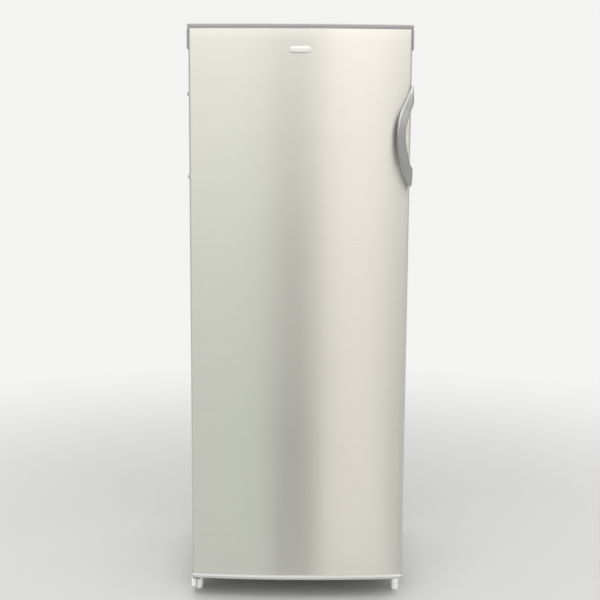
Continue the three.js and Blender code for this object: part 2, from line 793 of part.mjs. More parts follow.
// The relay box sits against the shell's right side; the mains lead's gland is on its rear face.
const relayX = compressorX + compressorRadius + gap;
const relayZ = compressorBase + 45;
const relay = upwards(roundedBox([0, relayDepth], [-relayWidth / 2, relayWidth / 2], 4), [0, relayHeight]);
place(cabinet, "relay_box", relay, blackPlastic, [relayX, compressorY, relayZ]);
const gland = cut(
  turned([
    [0, 0],
    [glandRadius + 2, 0],
    [glandRadius + 2, 3],
    [glandRadius, 3],
    [glandRadius - 2, glandLength],
    [0, glandLength],
  ], unitY, 16),
  rod(3.5, [4, glandLength + 1], unitY, 16),
);
const glandAt = [relayX + relayDepth / 2, compressorY + relayWidth / 2 + gap, relayZ + 20];
place(cabinet, "cord_gland", gland, blackPlastic, glandAt);

function condenser() {
  const half = condenserWidth / 2;
  const riserX = -half - riserOffset;
  const runs = serpentine(
    new THREE.Vector3(0, condenserY, condenserTop),
    half,
    new THREE.Vector3(0, 0, -condenserPitch),
    condenserRuns,
  );
  const start = [riserX, condenserY, condenserEnds];
  const top = [riserX, condenserY, condenserTop];
  const end = [half, condenserY, condenserEnds];
  const route = [start, top, ...runs.slice(1), end];
  const tube = pipe(bent(route, condenserBend, 2), condenserTube, 6);
  const wireY = condenserY - condenserTube - wireSide / 2 + 0.5;
  const wires = [];
  for (let i = 0; i < wireCount; i++) {
    const x = -half + wireInset + (i * (condenserWidth - 2 * wireInset)) / (wireCount - 1);
    wires.push(block(
      [x - wireSide / 2, x + wireSide / 2],
      [wireY - wireSide / 2, wireY + wireSide / 2],
      [condenserBottom - wireDrop, condenserTop + wireRise],
    ));
  }
  return join(tube, ...wires);
}
place(cabinet, "condenser", condenser(), blackPaint);

// Plastic spacers hook over the condenser's highest run and keep the cabinet off the wall.
function rearSpacer(length) {
  const tube = condenserY - panelRear - gap;
  const room = condenserTube + gap;
  const side = polygon([
    [0, 14],
    [0, -8],
    [tube - room, -8],
    [tube - room, room],
    [tube + room, room],
    [tube + room, -8],
    [length, -8],
    [length, 14],
  ]);
  return rightwards(side, [-spacerWidth / 2, spacerWidth / 2]);
}
for (const [name, side] of sides) {
  const at = [side * spacerX, panelRear + gap, condenserTop];
  place(cabinet, `rear_spacer_${name}`, rearSpacer(spacerLength), blackPlastic, at);
}
const clip = rearSpacer(condenserStandoff + 8).rotate([0, 180, 0]);
place(cabinet, "condenser_clip", clip, blackPlastic, [0, panelRear + gap, condenserBottom]);

const condenserInlet = [-condenserWidth / 2 - riserOffset, condenserY, condenserEnds - gap];
const dischargeZ = compressorBase + dischargeLift;
const dischargeX = compressorX - compressorRadius - dischargeReach;
const dischargeRoute = [
  [compressorX - compressorRadius - gap, compressorY, dischargeZ],
  [dischargeX, compressorY, dischargeZ],
  [dischargeX, condenserY, dischargeZ],
  [condenserInlet[0], condenserY, dischargeZ],
  condenserInlet,
];
place(cabinet, "discharge_line", pipe(bent(dischargeRoute, dischargeBend, 3), 0.75 * lineTube), copper);

const drierTop = condenserEnds - gap;
const drier = turned([
  [0, -drierLength],
  [3, -drierLength],
  [drierRadius, -drierLength + 12],
  [drierRadius, -12],
  [condenserTube, 0],
  [0, 0],
], unitZ, 12);
place(cabinet, "filter_drier", drier, copper, [condenserWidth / 2, condenserY, drierTop]);

const suctionX = compressorX - suctionOffset;
const suctionY = compressorY - compressorRadius * 0.55;
const suctionRoute = [
  [suctionX, suctionY, compressorBase + compressorHeight - suctionSeat],
  [suctionX, suctionY, bayTop - suctionDrop],
  [suctionX - suctionStep, suctionY, bayTop - suctionDrop],
  [suctionX - suctionStep, suctionY, bayTop - 2 * gap - sheet],
];
place(cabinet, "suction_line", pipe(bent(suctionRoute, suctionBend, 3), lineTube), copper);

// ---------------------------------------------------------------- shelves
// Each shelf is one evaporator tube, bent to and fro and laid on the liner's side ledges.
function shelf() {
  const bend = shelfPitch / 2;
  const half = halfCavity - shelfSideMargin - shelfTube;
  const runs = serpentine(new THREE.Vector3(0, shelfFront, 0), half, new THREE.Vector3(0, shelfPitch, 0), shelfRuns);
  return pipe(bent(runs, bend - 0.01, 3), shelfTube, 6);
}
for (let i = 1; i <= drawerCount; i++) {
  place(cabinet, `evaporator_shelf_${i}`, shelf(), coatedTube, [0, 0, shelfLevel(i)]);
}

// ---------------------------------------------------------------- drawers
const drawerHalf = halfCavity - drawerSideClearance;
const frontHeight = drawerPitch - drawerHeadroom;

function drawer(depth) {
  const wall = plastic;
  const front = backwards(
    roundedBox([-drawerHalf, drawerHalf], [0, frontHeight], drawerCorner),
    [0, drawerFront],
  );
  const half = drawerHalf - binInset;
  const bin = block([-half, half], [drawerFront - 1, depth], [0, binHeight]);
  const inside = block([-half + wall, half - wall], [drawerFront, depth - wall], [wall, binHeight + 1]);
  const grip = rightwards(
    polygon([
      [1, frontHeight - 4],
      [-gripReach, frontHeight - 4],
      [-gripReach, frontHeight - gripHeight],
      [-gripReach + wall, frontHeight - gripHeight],
      [-gripReach + wall, frontHeight - 4 - wall],
      [1, frontHeight - 4 - wall],
    ]),
    [-gripWidth / 2, gripWidth / 2],
  );
  return join(front, cut(bin, inside), grip);
}
for (let i = 0; i < drawerCount; i++) {
  const seat = i === 0 ? cavityFloor + gap : shelfLevel(i) + shelfTube + gap;
  const rear = (i === 0 ? humpFront : cavityRear) - binRearClearance;
  place(cabinet, `drawer_${i + 1}`, drawer(rear - fittingsFront), drawerPlastic, [0, fittingsFront, seat]);
}

// The top compartment's flap hangs on two moulded pins in the liner's side walls.
function flap() {
  const low = -(flapHeight - flapPinDrop);
  const panel = backwards(
    roundedBox([-drawerHalf, drawerHalf], [low, flapPinDrop], 4),
    [-flapThickness, 0],
  );
  const knuckle = rod(flapPin, [-halfCavity - linerWall + gap, halfCavity + linerWall - gap], unitX);
  const lip = block([-gripWidth / 2, gripWidth / 2], [-flapThickness - gripReach, -flapThickness + 1], [low, low + 3]);
  return join(panel, knuckle, lip);
}
place(cabinet, "freezer_flap", flap(), drawerPlastic, [0, flapAxisY, flapAxisZ]);

// ---------------------------------------------------------------- thermostat, under the ceiling
const housingFront = flapAxisY + housingFromFlap;
const housingZ = cavityTop - gap - housingHeight / 2;
const housing = cut(
  backwards(
    roundedBox([-housingWidth / 2, housingWidth / 2], [-housingHeight / 2, housingHeight / 2], 5),
    [0, housingDepth],
  ),
  rod(knobShaft + runningFit, [-1, knobShaftLength + 2], unitY),
);
place(cabinet, "thermostat_housing", housing, whitePlastic, [housingX, housingFront, housingZ]);

const knob = turned([
  [0, -knobLength - gap],
  [knobRadius - 1.5, -knobLength - gap],
  [knobRadius, -knobLength - gap + 1.5],
  [knobRadius, -gap],
  [knobShaft, -gap],
  [knobShaft, knobShaftLength],
  [0, knobShaftLength],
], unitY);
place(cabinet, "thermostat_knob", knob, whitePlastic, [housingX, housingFront, housingZ]);

// ---------------------------------------------------------------- door
// The door seen from above: bowed front, round front corners, square behind.
function doorPlan(half, front, rear, radius) {
  const chord = half - radius;
  const bowRadius = (chord * chord + doorBow * doorBow) / (2 * doorBow);
  const bowMiddle = front - doorBow + bowRadius;
  const spread = Math.asin(chord / bowRadius);
  const plan = new THREE.Shape();
  plan.absarc(-half + radius, front + radius, radius, Math.PI, 1.5 * Math.PI);
  plan.absarc(0, bowMiddle, bowRadius, -Math.PI / 2 - spread, -Math.PI / 2 + spread);
  plan.absarc(half - radius, front + radius, radius, 1.5 * Math.PI, 2 * Math.PI);
  plan.lineTo(half, rear);
  plan.lineTo(-half, rear);
  return plan;
}
const bowSegments = 5;
const skinPlan = (inset, rear) => doorPlan(halfSkin - inset, inset, rear, doorCorner - inset);
const capPlan = (inset, rear) =>
  doorPlan(halfCap - inset, inset - capOverhang, rear, doorCorner + capOverhang - inset);

const fixingHeights = [handleMiddle - fixingPitch / 2, handleMiddle + fixingPitch / 2];
const fixingHole = 3.5;
const fixingHoles = fixingHeights.map((z) =>
  rod(fixingHole, [-halfCap, halfCap], unitX, 12).translate([0, fixingDepth, z]),
);

function doorSkin() {
  const outside = upwards(skinPlan(0, doorThickness), [skinBottom, skinTop], bowSegments);
  const inside = upwards(skinPlan(sheet, doorThickness + 1), [0, totalHeight], bowSegments);
  return cut(outside, inside, ...fixingHoles);
}
place(door, "door_skin", doorSkin(), stainless);

const plinthSpan = [cavityFloor + plinthMargin, cavityTop - plinthMargin];
const plinthCorner = 20;
const linerFront = doorThickness - plastic;
function plinth(inset, depth) {
  const [low, high] = plinthSpan;
  const half = plinthHalfWidth - inset;
  return backwards(
    roundedBox([-half, half], [low + inset, high - inset], plinthCorner - inset),
    depth,
  );
}

function doorLiner() {
  const half = halfSkin - sheet - gap;
  const rim = block([-half, half], [linerFront, doorThickness], [doorUnderside + plastic + gap, skinTop]);
  const raised = plinth(0, [linerFront, doorThickness + plinthDepth]);
  return cut(join(rim, raised), plinth(plastic, [0, doorThickness + plinthDepth - plastic]));
}
place(door, "door_liner", doorLiner(), linerWhite);

function doorFoam() {
  const inset = sheet + gap;
  const low = doorUnderside + plastic + gap;
  const bulk = upwards(skinPlan(inset, linerFront - gap), [skinBottom, skinTop], bowSegments);
  const bulkLow = upwards(
    capPlan(capOverhang + plastic + gap, linerFront - gap),
    [low, skinBottom + 1],
    bowSegments,
  );
  const raised = plinth(plastic + gap, [linerFront - 2, doorThickness + plinthDepth - plastic - gap]);
  const bossRoom = bossRadius + gap;
  const bosses = [
    [deckUnderside - bushLength - gap, totalHeight],
    [0, doorUnderside + plastic + bushLength + gap],
  ].map((height) => block([-halfCap, hingeX + bossRoom], [hingeDepth - bossRoom, hingeDepth + bossRoom], height));
  const fixingRoom = [];
  for (const z of fixingHeights) {
    for (const [, side] of sides) {
      const across = [side * (halfSkin - 18), side * halfCap].sort((a, b) => a - b);
      fixingRoom.push(block(across, [fixingDepth - 5, fixingDepth + 5], [z - 5, z + 5]));
    }
  }
  return cut(join(bulk, bulkLow, raised), ...bosses, ...fixingRoom);
}
place(door, "door_foam", doorFoam(), foam);

// Side wings of an end cap: plates that lap the door's sides.
function wings([low, high], roundLow) {
  const radius = roundLow ? wingCorner : bottomWingRise / 2;
  const outline = roundedBox([wingFront, wingRear], [low, high], radius);
  return sides.map(([, side]) => {
    const across = [side * wingInner, side * halfCap].sort((a, b) => a - b);
    return rightwards(outline, across);
  });
}

function bossTube([low, high]) {
  return rod(bossRadius, [low, high]).translate([hingeX, hingeDepth, 0]);
}
function bushHole([low, high]) {
  return rod(bushRadius + gap, [low, high]).translate([hingeX, hingeDepth, 0]);
}

function topCap() {
  const deck = upwards(capPlan(0, doorThickness), [deckUnderside, deckTop], bowSegments);
  const wall = upwards(capPlan(0, doorThickness), [deckTop - 1, totalHeight], bowSegments);
  const inside = upwards(capPlan(plastic, doorThickness + 1), [deckTop, totalHeight + 1], bowSegments);
  const behind = block([-halfCap - 1, halfCap + 1], [doorCorner / 2, doorThickness + 2], [deckTop, totalHeight + 1]);
  const rim = cut(wall, inside, behind);
  const wingPair = wings([deckUnderside - topWingDrop, deckTop - 1], true);
  const boss = bossTube([deckUnderside - bushLength, deckTop - 1]);
  return cut(join(deck, rim, ...wingPair, boss), bushHole([0, totalHeight]));
}
place(door, "door_top_cap", topCap(), capGrey);

function bottomCap() {
  const high = doorUnderside + bottomCapHeight;
  const tray = upwards(capPlan(0, doorThickness), [doorUnderside, high], bowSegments);
  const room = upwards(
    capPlan(capOverhang + plastic, doorThickness + 1),
    [doorUnderside + plastic, high + 1],
    bowSegments,
  );
  const wingPair = wings([doorUnderside + 1, high + bottomWingRise], false);
  const boss = bossTube([doorUnderside + 1, doorUnderside + plastic + bushLength]);
  return cut(join(cut(tray, room), ...wingPair, boss), bushHole([0, totalHeight]));
}
place(door, "door_bottom_cap", bottomCap(), capGrey);

const bush = tubeOf(bushRadius, hingePin + runningFit, [0, bushLength]);
place(door, "top_hinge_bush", bush, whitePlastic, [hingeX, hingeDepth, deckTop + gap - bushLength]);
place(door, "bottom_hinge_bush", bush, whitePlastic, [hingeX, hingeDepth, doorUnderside]);

// The seal: a foot on the door's rim, a narrow bellows and the tube that holds the magnet strip.
function seal() {
  const outer = halfCavity + sealOverlap;
  const low = cavityFloor - sealOverlap;
  const high = cavityTop + sealOverlap;
  const front = doorThickness + gap;
  const rear = cabinetFront - gap;
  const ring = (from, to, depth) =>
    cut(
      backwards(roundedBox([-outer + from, outer - from], [low + from, high - from], 10 - from), depth),
      backwards(
        roundedBox([-outer + to, outer - to], [low + to, high - to], 3),
        [depth[0] - 1, depth[1] + 1],
      ),
    );
  return join(
    ring(0, sealWidth, [front, front + 3]),
    ring(4, sealWidth - 4, [front + 2, rear - 2]),
    ring(1, sealWidth - 1, [rear - 4, rear]),
  );
}
place(door, "door_seal", seal(), sealRubber);

const badge = backwards(
  roundedBox([-badgeWidth / 2, badgeWidth / 2], [-badgeHeight / 2, badgeHeight / 2], badgeHeight / 2 - 0.01),
  [-badgeThickness, 0],
  4,
);
place(door, "badge_plate", badge, plainPlate, [0, -doorBow - gap, totalHeight - badgeDrop]);

// ---------------------------------------------------------------- handle
// An arc through two points at the same side distance, rising towards the door's middle between them.
function arcPoints(x, low, high, rise, steps) {
  const half = (high - low) / 2;
  const radius = (half * half + rise * rise) / (2 * rise);
  const spread = Math.asin(half / radius);
  const points = [];
  for (let k = 0; k <= steps; k++) {
    const angle = spread * ((2 * k) / steps - 1);
    points.push([x - rise + radius * (1 - Math.cos(angle)), (low + high) / 2 + radius * Math.sin(angle)]);
  }
  return points;
}

function handle() {
  const half = handleHeight / 2;
  const tip = handleOuter - 2;
  const gapX = handleOuter - handleReach + handleBand + handleGapRise;
  const innerArc = arcPoints(gapX, -handleGapHeight / 2, handleGapHeight / 2, handleGapRise, 8);
  const outerArc = arcPoints(tip, -half, half, handleReach - 2, 16).reverse();
  const crescent = backwards(
    polygon([
      [handleOuter, -half + 6],
      [handleOuter, -half + 6 + handleFoot],
      ...innerArc,
      [handleOuter, half - 6 - handleFoot],
      [handleOuter, half - 6],
      ...outerArc,
    ]),
    [-handleStandoff - 1, 0],
  );
  const bowRise = handleStandoff - handleTipDepth;
  const front = arcPoints(-handleTipDepth, -half - 1, half + 1, bowRise, 16);
  const rear = arcPoints(-handleTipDepth + handleThickness, -half - 1, half + 1, bowRise, 16).reverse();
  const bow = crescent.intersect(rightwards(polygon([...front, ...rear]), [0, halfCap]));
  const feet = [];
  for (const [, side] of sides) {
    const middle = (side * fixingPitch) / 2;
    const span = [middle - handleFoot / 2, middle + handleFoot / 2];
    const ends = side < 0 ? [span[0], span[0], span[1], span[1]] : [span[1], span[1], span[0], span[0]];
    feet.push(rightwards(
      roundedBox([-handleTipDepth, handleFootDepth], span, 5),
      [halfSkin + gap, handleOuter],
    ));
    feet.push(block([halfSkin - 11, handleOuter], [-handleTipDepth - 4, -1], [
      Math.min(ends[0], ends[2]) + 4,
      Math.max(ends[0], ends[2]) - 4,
    ]));
  }
  const holes = [-1, 1].flatMap((side) => {
    const z = (side * fixingPitch) / 2;
    return [
      rod(2.5, [0, halfCap + 1], unitX, 12).translate([0, fixingDepth, z]),
      rod(screwHead + gap, [handleOuter - 2, halfCap + 1], unitX, 12).translate([0, fixingDepth, z]),
    ];
  });
  return cut(join(bow, ...feet), ...holes);
}
place(door, "door_handle", handle(), handleGrey, [0, 0, handleMiddle]);

const handleScrew = turned([
  [0, -15],
  [2.2, -15],
  [2.2, 0],
  [screwHead, 0],
  [screwHead - 1, 1.6],
  [0, 1.6],
], unitX, 12);
const plug = turned([
  [0, -halfCap + 0.1],
  [4.4, -halfCap + 0.1],
  [5.5, -halfCap + 1.2],
  [5.5, -halfSkin - gap],
  [fixingHole - gap, -halfSkin - gap],
  [fixingHole - gap, -halfSkin + 8],
  [0, -halfSkin + 8],
], unitX, 16);
["lower", "upper"].forEach((name, i) => {
  const z = fixingHeights[i];
  place(door, `handle_screw_${name}`, handleScrew, zincSteel, [handleOuter - 2 + gap, fixingDepth, z]);
  place(door, `side_plug_${name}`, plug, capGrey, [0, fixingDepth, z]);
});

export default freezer;
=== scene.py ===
"""An upright freezer with a bowed door of brushed steel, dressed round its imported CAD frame."""

import json

import bmesh
import bpy
import numpy as np
from mathutils import Matrix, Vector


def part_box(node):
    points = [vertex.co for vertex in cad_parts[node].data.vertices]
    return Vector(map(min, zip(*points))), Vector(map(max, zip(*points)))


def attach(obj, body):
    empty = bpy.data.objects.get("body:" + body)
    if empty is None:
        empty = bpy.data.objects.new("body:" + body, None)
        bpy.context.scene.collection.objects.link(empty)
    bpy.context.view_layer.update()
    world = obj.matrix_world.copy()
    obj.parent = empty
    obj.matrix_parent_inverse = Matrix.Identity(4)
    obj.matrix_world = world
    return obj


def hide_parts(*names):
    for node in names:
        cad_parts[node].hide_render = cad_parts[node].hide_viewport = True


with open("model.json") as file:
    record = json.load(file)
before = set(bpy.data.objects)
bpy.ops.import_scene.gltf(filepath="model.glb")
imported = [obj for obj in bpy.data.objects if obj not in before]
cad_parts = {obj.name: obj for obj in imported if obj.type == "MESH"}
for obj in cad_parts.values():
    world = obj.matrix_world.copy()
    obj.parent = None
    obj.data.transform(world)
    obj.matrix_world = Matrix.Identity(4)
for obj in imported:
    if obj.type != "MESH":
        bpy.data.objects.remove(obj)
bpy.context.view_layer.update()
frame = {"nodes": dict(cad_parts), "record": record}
MM = 0.001

# The camera stands in front of the door a little below its top and looks slightly down, as in the
# photograph. Its place was worked out from the door's outline, the bowed caps and the feet.
skin_low, skin_high = np.array(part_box("door_skin"))  # lowest and highest corner, in metres
door_bow = 12.7 * MM
corner_line = skin_low[1] + door_bow  # where the door's front corners lie
distance, eye_level, to_the_right = 2.691, 1.185, 0.0016
down, turned, rolled = 8.51, -0.03, 0.36  # degrees
camera_data = bpy.data.cameras.new("camera")
camera_data.sensor_width = 36.0
camera_data.lens = 66.0
camera = bpy.data.objects.new("camera", camera_data)
camera_turn = (
    Matrix.Rotation(np.radians(turned), 4, "Z")
    @ Matrix.Rotation(np.radians(90 - down), 4, "X")
    @ Matrix.Rotation(np.radians(rolled), 4, "Z")
)
camera.matrix_world = Matrix.Translation((to_the_right, corner_line - distance, eye_level)) @ camera_turn
bpy.context.scene.collection.objects.link(camera)
bpy.context.scene.camera = camera

# The room has a pale floor that runs into a pale backdrop, soft boxes at both sides, overhead and
# close to the floor, and in front of the door a lit cloth scrim that the steel mirrors as bands.
scene = bpy.context.scene
scene.view_settings.view_transform = "Standard"
backdrop_white = (0.90, 0.90, 0.89, 1.0)


def added(nodes, kind, sockets=(), **settings):
    """A new shader node of this kind, with its own settings and the constant values of its sockets."""
    node = nodes.new("ShaderNode" + kind)
    for setting, value in settings.items():
        setattr(node, setting, value)
    for socket, value in dict(sockets).items():
        node.inputs[socket].default_value = value
    return node


def wire(source, output, target, socket):
    """Links an output of one node to a socket of another."""
    source.id_data.links.new(source.outputs[output], target.inputs[socket])


def nodes_of(name):
    """A new material with nothing in its tree but its output: (material, nodes, output)."""
    material = bpy.data.materials.new(name)
    material.use_nodes = True
    nodes = material.node_tree.nodes
    nodes.clear()
    return material, nodes, added(nodes, "OutputMaterial")


def room_light():
    """Seen directly, in metal or through plastic, the room is backdrop white all round.

    The light that it sheds grows from the horizon upwards, as under a bright ceiling.
    """
    world = bpy.data.worlds.new("room")
    world.use_nodes = True
    nodes = world.node_tree.nodes
    nodes.clear()
    path = added(nodes, "LightPath")
    camera_or_metal = added(nodes, "Math", operation="MAXIMUM")
    seen = added(nodes, "Math", operation="MAXIMUM")
    direction = added(nodes, "TexCoord")
    split = added(nodes, "SeparateXYZ")
    ceiling = added(nodes, "MapRange", {"From Min": 0.0, "From Max": 0.7, "To Min": 0.22, "To Max": 1.0})
    strength = added(nodes, "Mix", {"B": 1.0}, data_type="FLOAT")
    room = added(nodes, "Background", {"Color": backdrop_white})
    output = added(nodes, "OutputWorld")
    wire(path, "Is Camera Ray", camera_or_metal, 0)
    wire(path, "Is Glossy Ray", camera_or_metal, 1)
    wire(camera_or_metal, "Value", seen, 0)
    wire(path, "Is Transmission Ray", seen, 1)
    wire(direction, "Generated", split, "Vector")
    wire(split, "Z", ceiling, "Value")
    wire(seen, "Value", strength, "Factor")
    wire(ceiling, "Result", strength, "A")
    wire(strength, "Result", room, "Strength")
    wire(room, "Background", output, "Surface")
    return world


scene.world = room_light()


def floor_paint():
    """Pale matt paint that takes shadows, and that turns into the backdrop's own tone far out."""
    material, nodes, output = nodes_of("floor_paint")
    place = added(nodes, "TexCoord")
    away = added(nodes, "VectorMath", operation="LENGTH")
    far = added(nodes, "MapRange", {"From Min": 0.8, "From Max": 2.8}, interpolation_type="SMOOTHSTEP")
    cloud = added(nodes, "TexNoise", {"Scale": 3.0})
    tone = added(nodes, "Mix", {"A": (0.80, 0.80, 0.79, 1), "B": (0.83, 0.83, 0.82, 1)}, data_type="RGBA")
    paint = added(nodes, "BsdfDiffuse")
    glow = added(nodes, "Emission", {"Color": backdrop_white})
    mix = added(nodes, "MixShader")
    wire(place, "Object", away, 0)
    wire(away, "Value", far, "Value")
    wire(place, "Object", cloud, "Vector")
    wire(cloud, "Fac", tone, "Factor")
    wire(tone, "Result", paint, "Color")
    wire(far, "Result", mix, "Fac")
    wire(paint, "BSDF", mix, 1)
    wire(glow, "Emission", mix, 2)
    wire(mix, "Shader", output, "Surface")
    return material


def faced_out(mesh):
    """Turns the faces of closed shells outwards."""
    shell = bmesh.new()
    shell.from_mesh(mesh)
    bmesh.ops.recalc_face_normals(shell, faces=shell.faces)
    shell.to_mesh(mesh)
    shell.free()


def placed(name, mesh, smooth):
    """An object at the origin with this mesh, shaded smooth across edges up to a number of degrees."""
    mesh.shade_smooth()
    mesh.set_sharp_from_angle(angle=np.radians(smooth))
    made = bpy.data.objects.new(name, mesh)
    scene.collection.objects.link(made)
    return made


def laid_sheet(name, grid, around=False, ends=False, looped=False, uv=None, smooth=40):
    """An object whose surface joins each point of a grid to the next along both directions.

    With around the columns close on themselves, with looped the rows do, and with ends the first
    and last rings are filled. A closed piece has its normals recalculated, so it faces outwards.
    """
    rows, columns = grid.shape[:2]
    index = np.arange(rows * columns).reshape(rows, columns)
    if looped:
        index = np.vstack([index, index[:1]])
    if around:
        index = np.hstack([index, index[:, :1]])
    quads = np.stack([index[:-1, :-1], index[:-1, 1:], index[1:, 1:], index[1:, :-1]], -1)
    faces = quads.reshape(-1, 4).tolist()
    if ends:
        faces += [index[0, :columns][::-1].tolist(), index[-1, :columns].tolist()]
    mesh = bpy.data.meshes.new(name)
    mesh.from_pydata(grid.reshape(-1, 3).tolist(), [], faces)
    if uv is not None:
        layer = mesh.uv_layers.new(name="UVMap")
        loops = np.empty(len(mesh.loops), np.int32)
        mesh.loops.foreach_get("vertex_index", loops)
        layer.data.foreach_set("uv", uv.reshape(-1, 2)[loops].astype(np.float32).ravel())
    if around and (ends or looped):
        faced_out(mesh)
    return placed(name, mesh, smooth)


def hidden_from(piece, *rays):
    """Makes a lamp or a piece of the room invisible to some kinds of ray."""
    for ray in rays:
        setattr(piece, "visible_" + ray, False)


def scrim_cloth():
    """White cloth lit from behind: a cool left, a dark middle and a warm right, all paler high up.

    U counts metres across the wall, V metres up it, and less than 0 where the cloth lies flat.
    High up the bands fade into one pale tone, and towards the door half way into another.
    """
    material, nodes, output = nodes_of("scrim_cloth")
    place = added(nodes, "UVMap", uv_map="UVMap")
    split = added(nodes, "SeparateXYZ")
    half = 2.0  # metres either way that the bands reach
    across = added(nodes, "MapRange", {"From Min": -half, "From Max": half})
    glow = added(nodes, "ValToRGB")
    glow.color_ramp.interpolation = "EASE"
    stops = [
        (-1.9, (0.465, 0.505, 0.45)),
        (-0.40, (0.455, 0.52, 0.45)),
        (-0.22, (0.02, 0.035, 0.02)),
        (0.13, (0.02, 0.035, 0.02)),
        (0.36, (0.90, 0.855, 0.765)),
        (1.10, (0.90, 0.855, 0.765)),
        (1.22, (0.20, 0.22, 0.20)),
        (1.9, (0.30, 0.31, 0.29)),
    ]
    ramp = glow.color_ramp.elements
    while len(ramp) < len(stops):
        ramp.new(0.5)
    for element, (x, colour) in zip(ramp, stops):
        element.position = (x + half) / (2 * half)
        element.color = (*colour, 1)
    fade = {"interpolation_type": "SMOOTHSTEP"}
    upward = added(nodes, "MapRange", {"From Min": 1.4, "From Max": 2.6}, **fade)
    high = added(nodes, "Mix", {"B": (2.65, 2.52, 2.40, 1)}, data_type="RGBA")
    downward = added(nodes, "MapRange", {"From Min": -1.0, "From Max": -2.8, "To Max": 0.5}, **fade)
    low = added(nodes, "Mix", {"B": (0.87, 0.88, 0.82, 1)}, data_type="RGBA")
    light = added(nodes, "Emission")
    wire(place, "UV", split, "Vector")
    wire(split, "X", across, "Value")
    wire(across, "Result", glow, "Fac")
    wire(split, "Y", upward, "Value")
    wire(split, "Y", downward, "Value")
    wire(upward, "Result", high, "Factor")
    wire(downward, "Result", low, "Factor")
    wire(glow, "Color", low, "A")
    wire(low, "Result", high, "A")
    wire(high, "Result", light, "Color")
    wire(light, "Emission", output, "Surface")
    return material


def scrim_sheet():
    """A fan that lies on the floor from the door outwards, and turns up into an upright wall.

    At a distance s from the door the fan is (1 + 1.098 s) / 4.84 as wide as the wall, which is how
    the bowed door spreads what it mirrors, so the bands stand straight in the steel.
    """
    start, reach, top, off_floor = 0.12, 3.5, 3.0, 0.004
    along = np.concatenate([np.linspace(start, reach, 24), np.full(16, reach)])
    up = np.concatenate([np.full(24, off_floor), np.linspace(0.1, top, 16)])
    across = np.linspace(-2.6, 2.6, 53)
    grid = np.empty((len(along), len(across), 3))
    grid[..., 0] = across * ((1 + 1.098 * along) / 4.84)[:, None]
    grid[..., 1] = (corner_line - along)[:, None]
    grid[..., 2] = up[:, None]
    uv = np.stack(np.broadcast_arrays(across[None, :], (up + along - reach)[:, None]), -1)
    return grid, uv


def soft_box(name, place, aim, width, height, radiance, colour):
    """A rectangular lamp that faces its aim; its power is radiance times pi times its area."""
    data = bpy.data.lights.new(name, "AREA")
    data.shape = "RECTANGLE"
    data.size = width
    data.size_y = height
    data.energy = radiance * np.pi * width * height
    data.color = colour
    lamp = bpy.data.objects.new(name, data)
    at = Matrix.Translation(place)
    away = at.translation - Matrix.Translation(aim).translation
    lamp.matrix_world = at @ away.to_track_quat("Z", "Y").to_matrix().to_4x4()
    scene.collection.objects.link(lamp)
    return lamp


def side_flag(name, x):
    """An upright grey flag beside the object, which only gloss sees, so the door's edges read grey."""
    near, far, tall = -3.4, 0.9, 3.4
    grid = np.array([[(x, near, 0.0), (x, far, 0.0)], [(x, near, tall), (x, far, tall)]])
    material, nodes, output = nodes_of(name)
    place = added(nodes, "TexCoord")
    folds = added(nodes, "TexNoise", {"Scale": 1.5})
    tone = added(nodes, "Mix", {"A": (0.48, 0.48, 0.46, 1), "B": (0.60, 0.60, 0.57, 1)}, data_type="RGBA")
    cloth = added(nodes, "Emission")
    wire(place, "Object", folds, "Vector")
    wire(folds, "Fac", tone, "Factor")
    wire(tone, "Result", cloth, "Color")
    wire(cloth, "Emission", output, "Surface")
    flag = laid_sheet(name, grid)
    flag.data.materials.append(material)
    hidden_from(flag, "camera", "diffuse", "transmission", "shadow")


wide = 40.0
floor_grid = np.array([[(-wide, -wide, 0), (wide, -wide, 0)], [(-wide, wide, 0), (wide, wide, 0)]])
floor = laid_sheet("floor", floor_grid)
floor.data.materials.append(floor_paint())
scrim_grid, scrim_uv = scrim_sheet()
scrim = laid_sheet("scrim", scrim_grid, uv=scrim_uv)
scrim.data.materials.append(scrim_cloth())
hidden_from(scrim, "camera", "diffuse", "shadow")
side_flag("left_flag", -3.3)
side_flag("right_flag", 3.3)
soft_box("right_box", (2.4, -2.9, 2.1), (0.2, -0.3, 0.8), 1.2, 1.5, 1.05, (1.0, 0.97, 0.93))
soft_box("left_box", (-2.4, -2.9, 2.1), (0.0, -0.3, 0.8), 1.2, 1.5, 0.85, (0.97, 1.0, 0.98))
soft_box("overhead_box", (0.0, -2.3, 3.3), (0.0, -0.3, 1.0), 2.8, 0.5, 4.0, (1.0, 0.985, 0.95))
low_box = soft_box("low_box", (0.0, -4.3, 0.13), (0.0, -0.3, 0.13), 1.6, 0.2, 7.2, (1.0, 1.0, 1.0))
low_box.data.spread = np.radians(60)
hidden_from(low_box, "glossy")


# The door's skin is one sheet of stainless steel, brushed along its width, pressed to a shallow
# bow and folded back round both upright edges. The caps grip its upper and lower ends.
def door_line(half, front, bow, corner, rear, arc_steps=14, bow_steps=96):
    """The door seen from above, as points from the left rear edge round the front to the right one.

    Two straight sides, two corner arcs and one wide arc that meets both corner arcs at a tangent:
    its radius is ((half - corner)^2 + bow^2 + 2 bow corner) / (2 bow).
    """
    reach = half - corner
    radius = (reach**2 + bow**2 + 2 * bow * corner) / (2 * bow)
    middle = front - bow + radius
    corner_y = front + corner
    lean = np.arctan2(reach, middle - corner_y)
    turn = np.linspace(np.pi, 1.5 * np.pi - lean, arc_steps)
    left = np.stack([-reach + corner * np.cos(turn), corner_y + corner * np.sin(turn)], 1)
    sweep = np.linspace(-lean, lean, bow_steps)[1:-1]
    face = np.stack([radius * np.sin(sweep), middle - radius * np.cos(sweep)], 1)
    right = left[::-1] * (-1, 1)
    return np.concatenate([[(-half, rear)], left, face, right, [(half, rear)]])


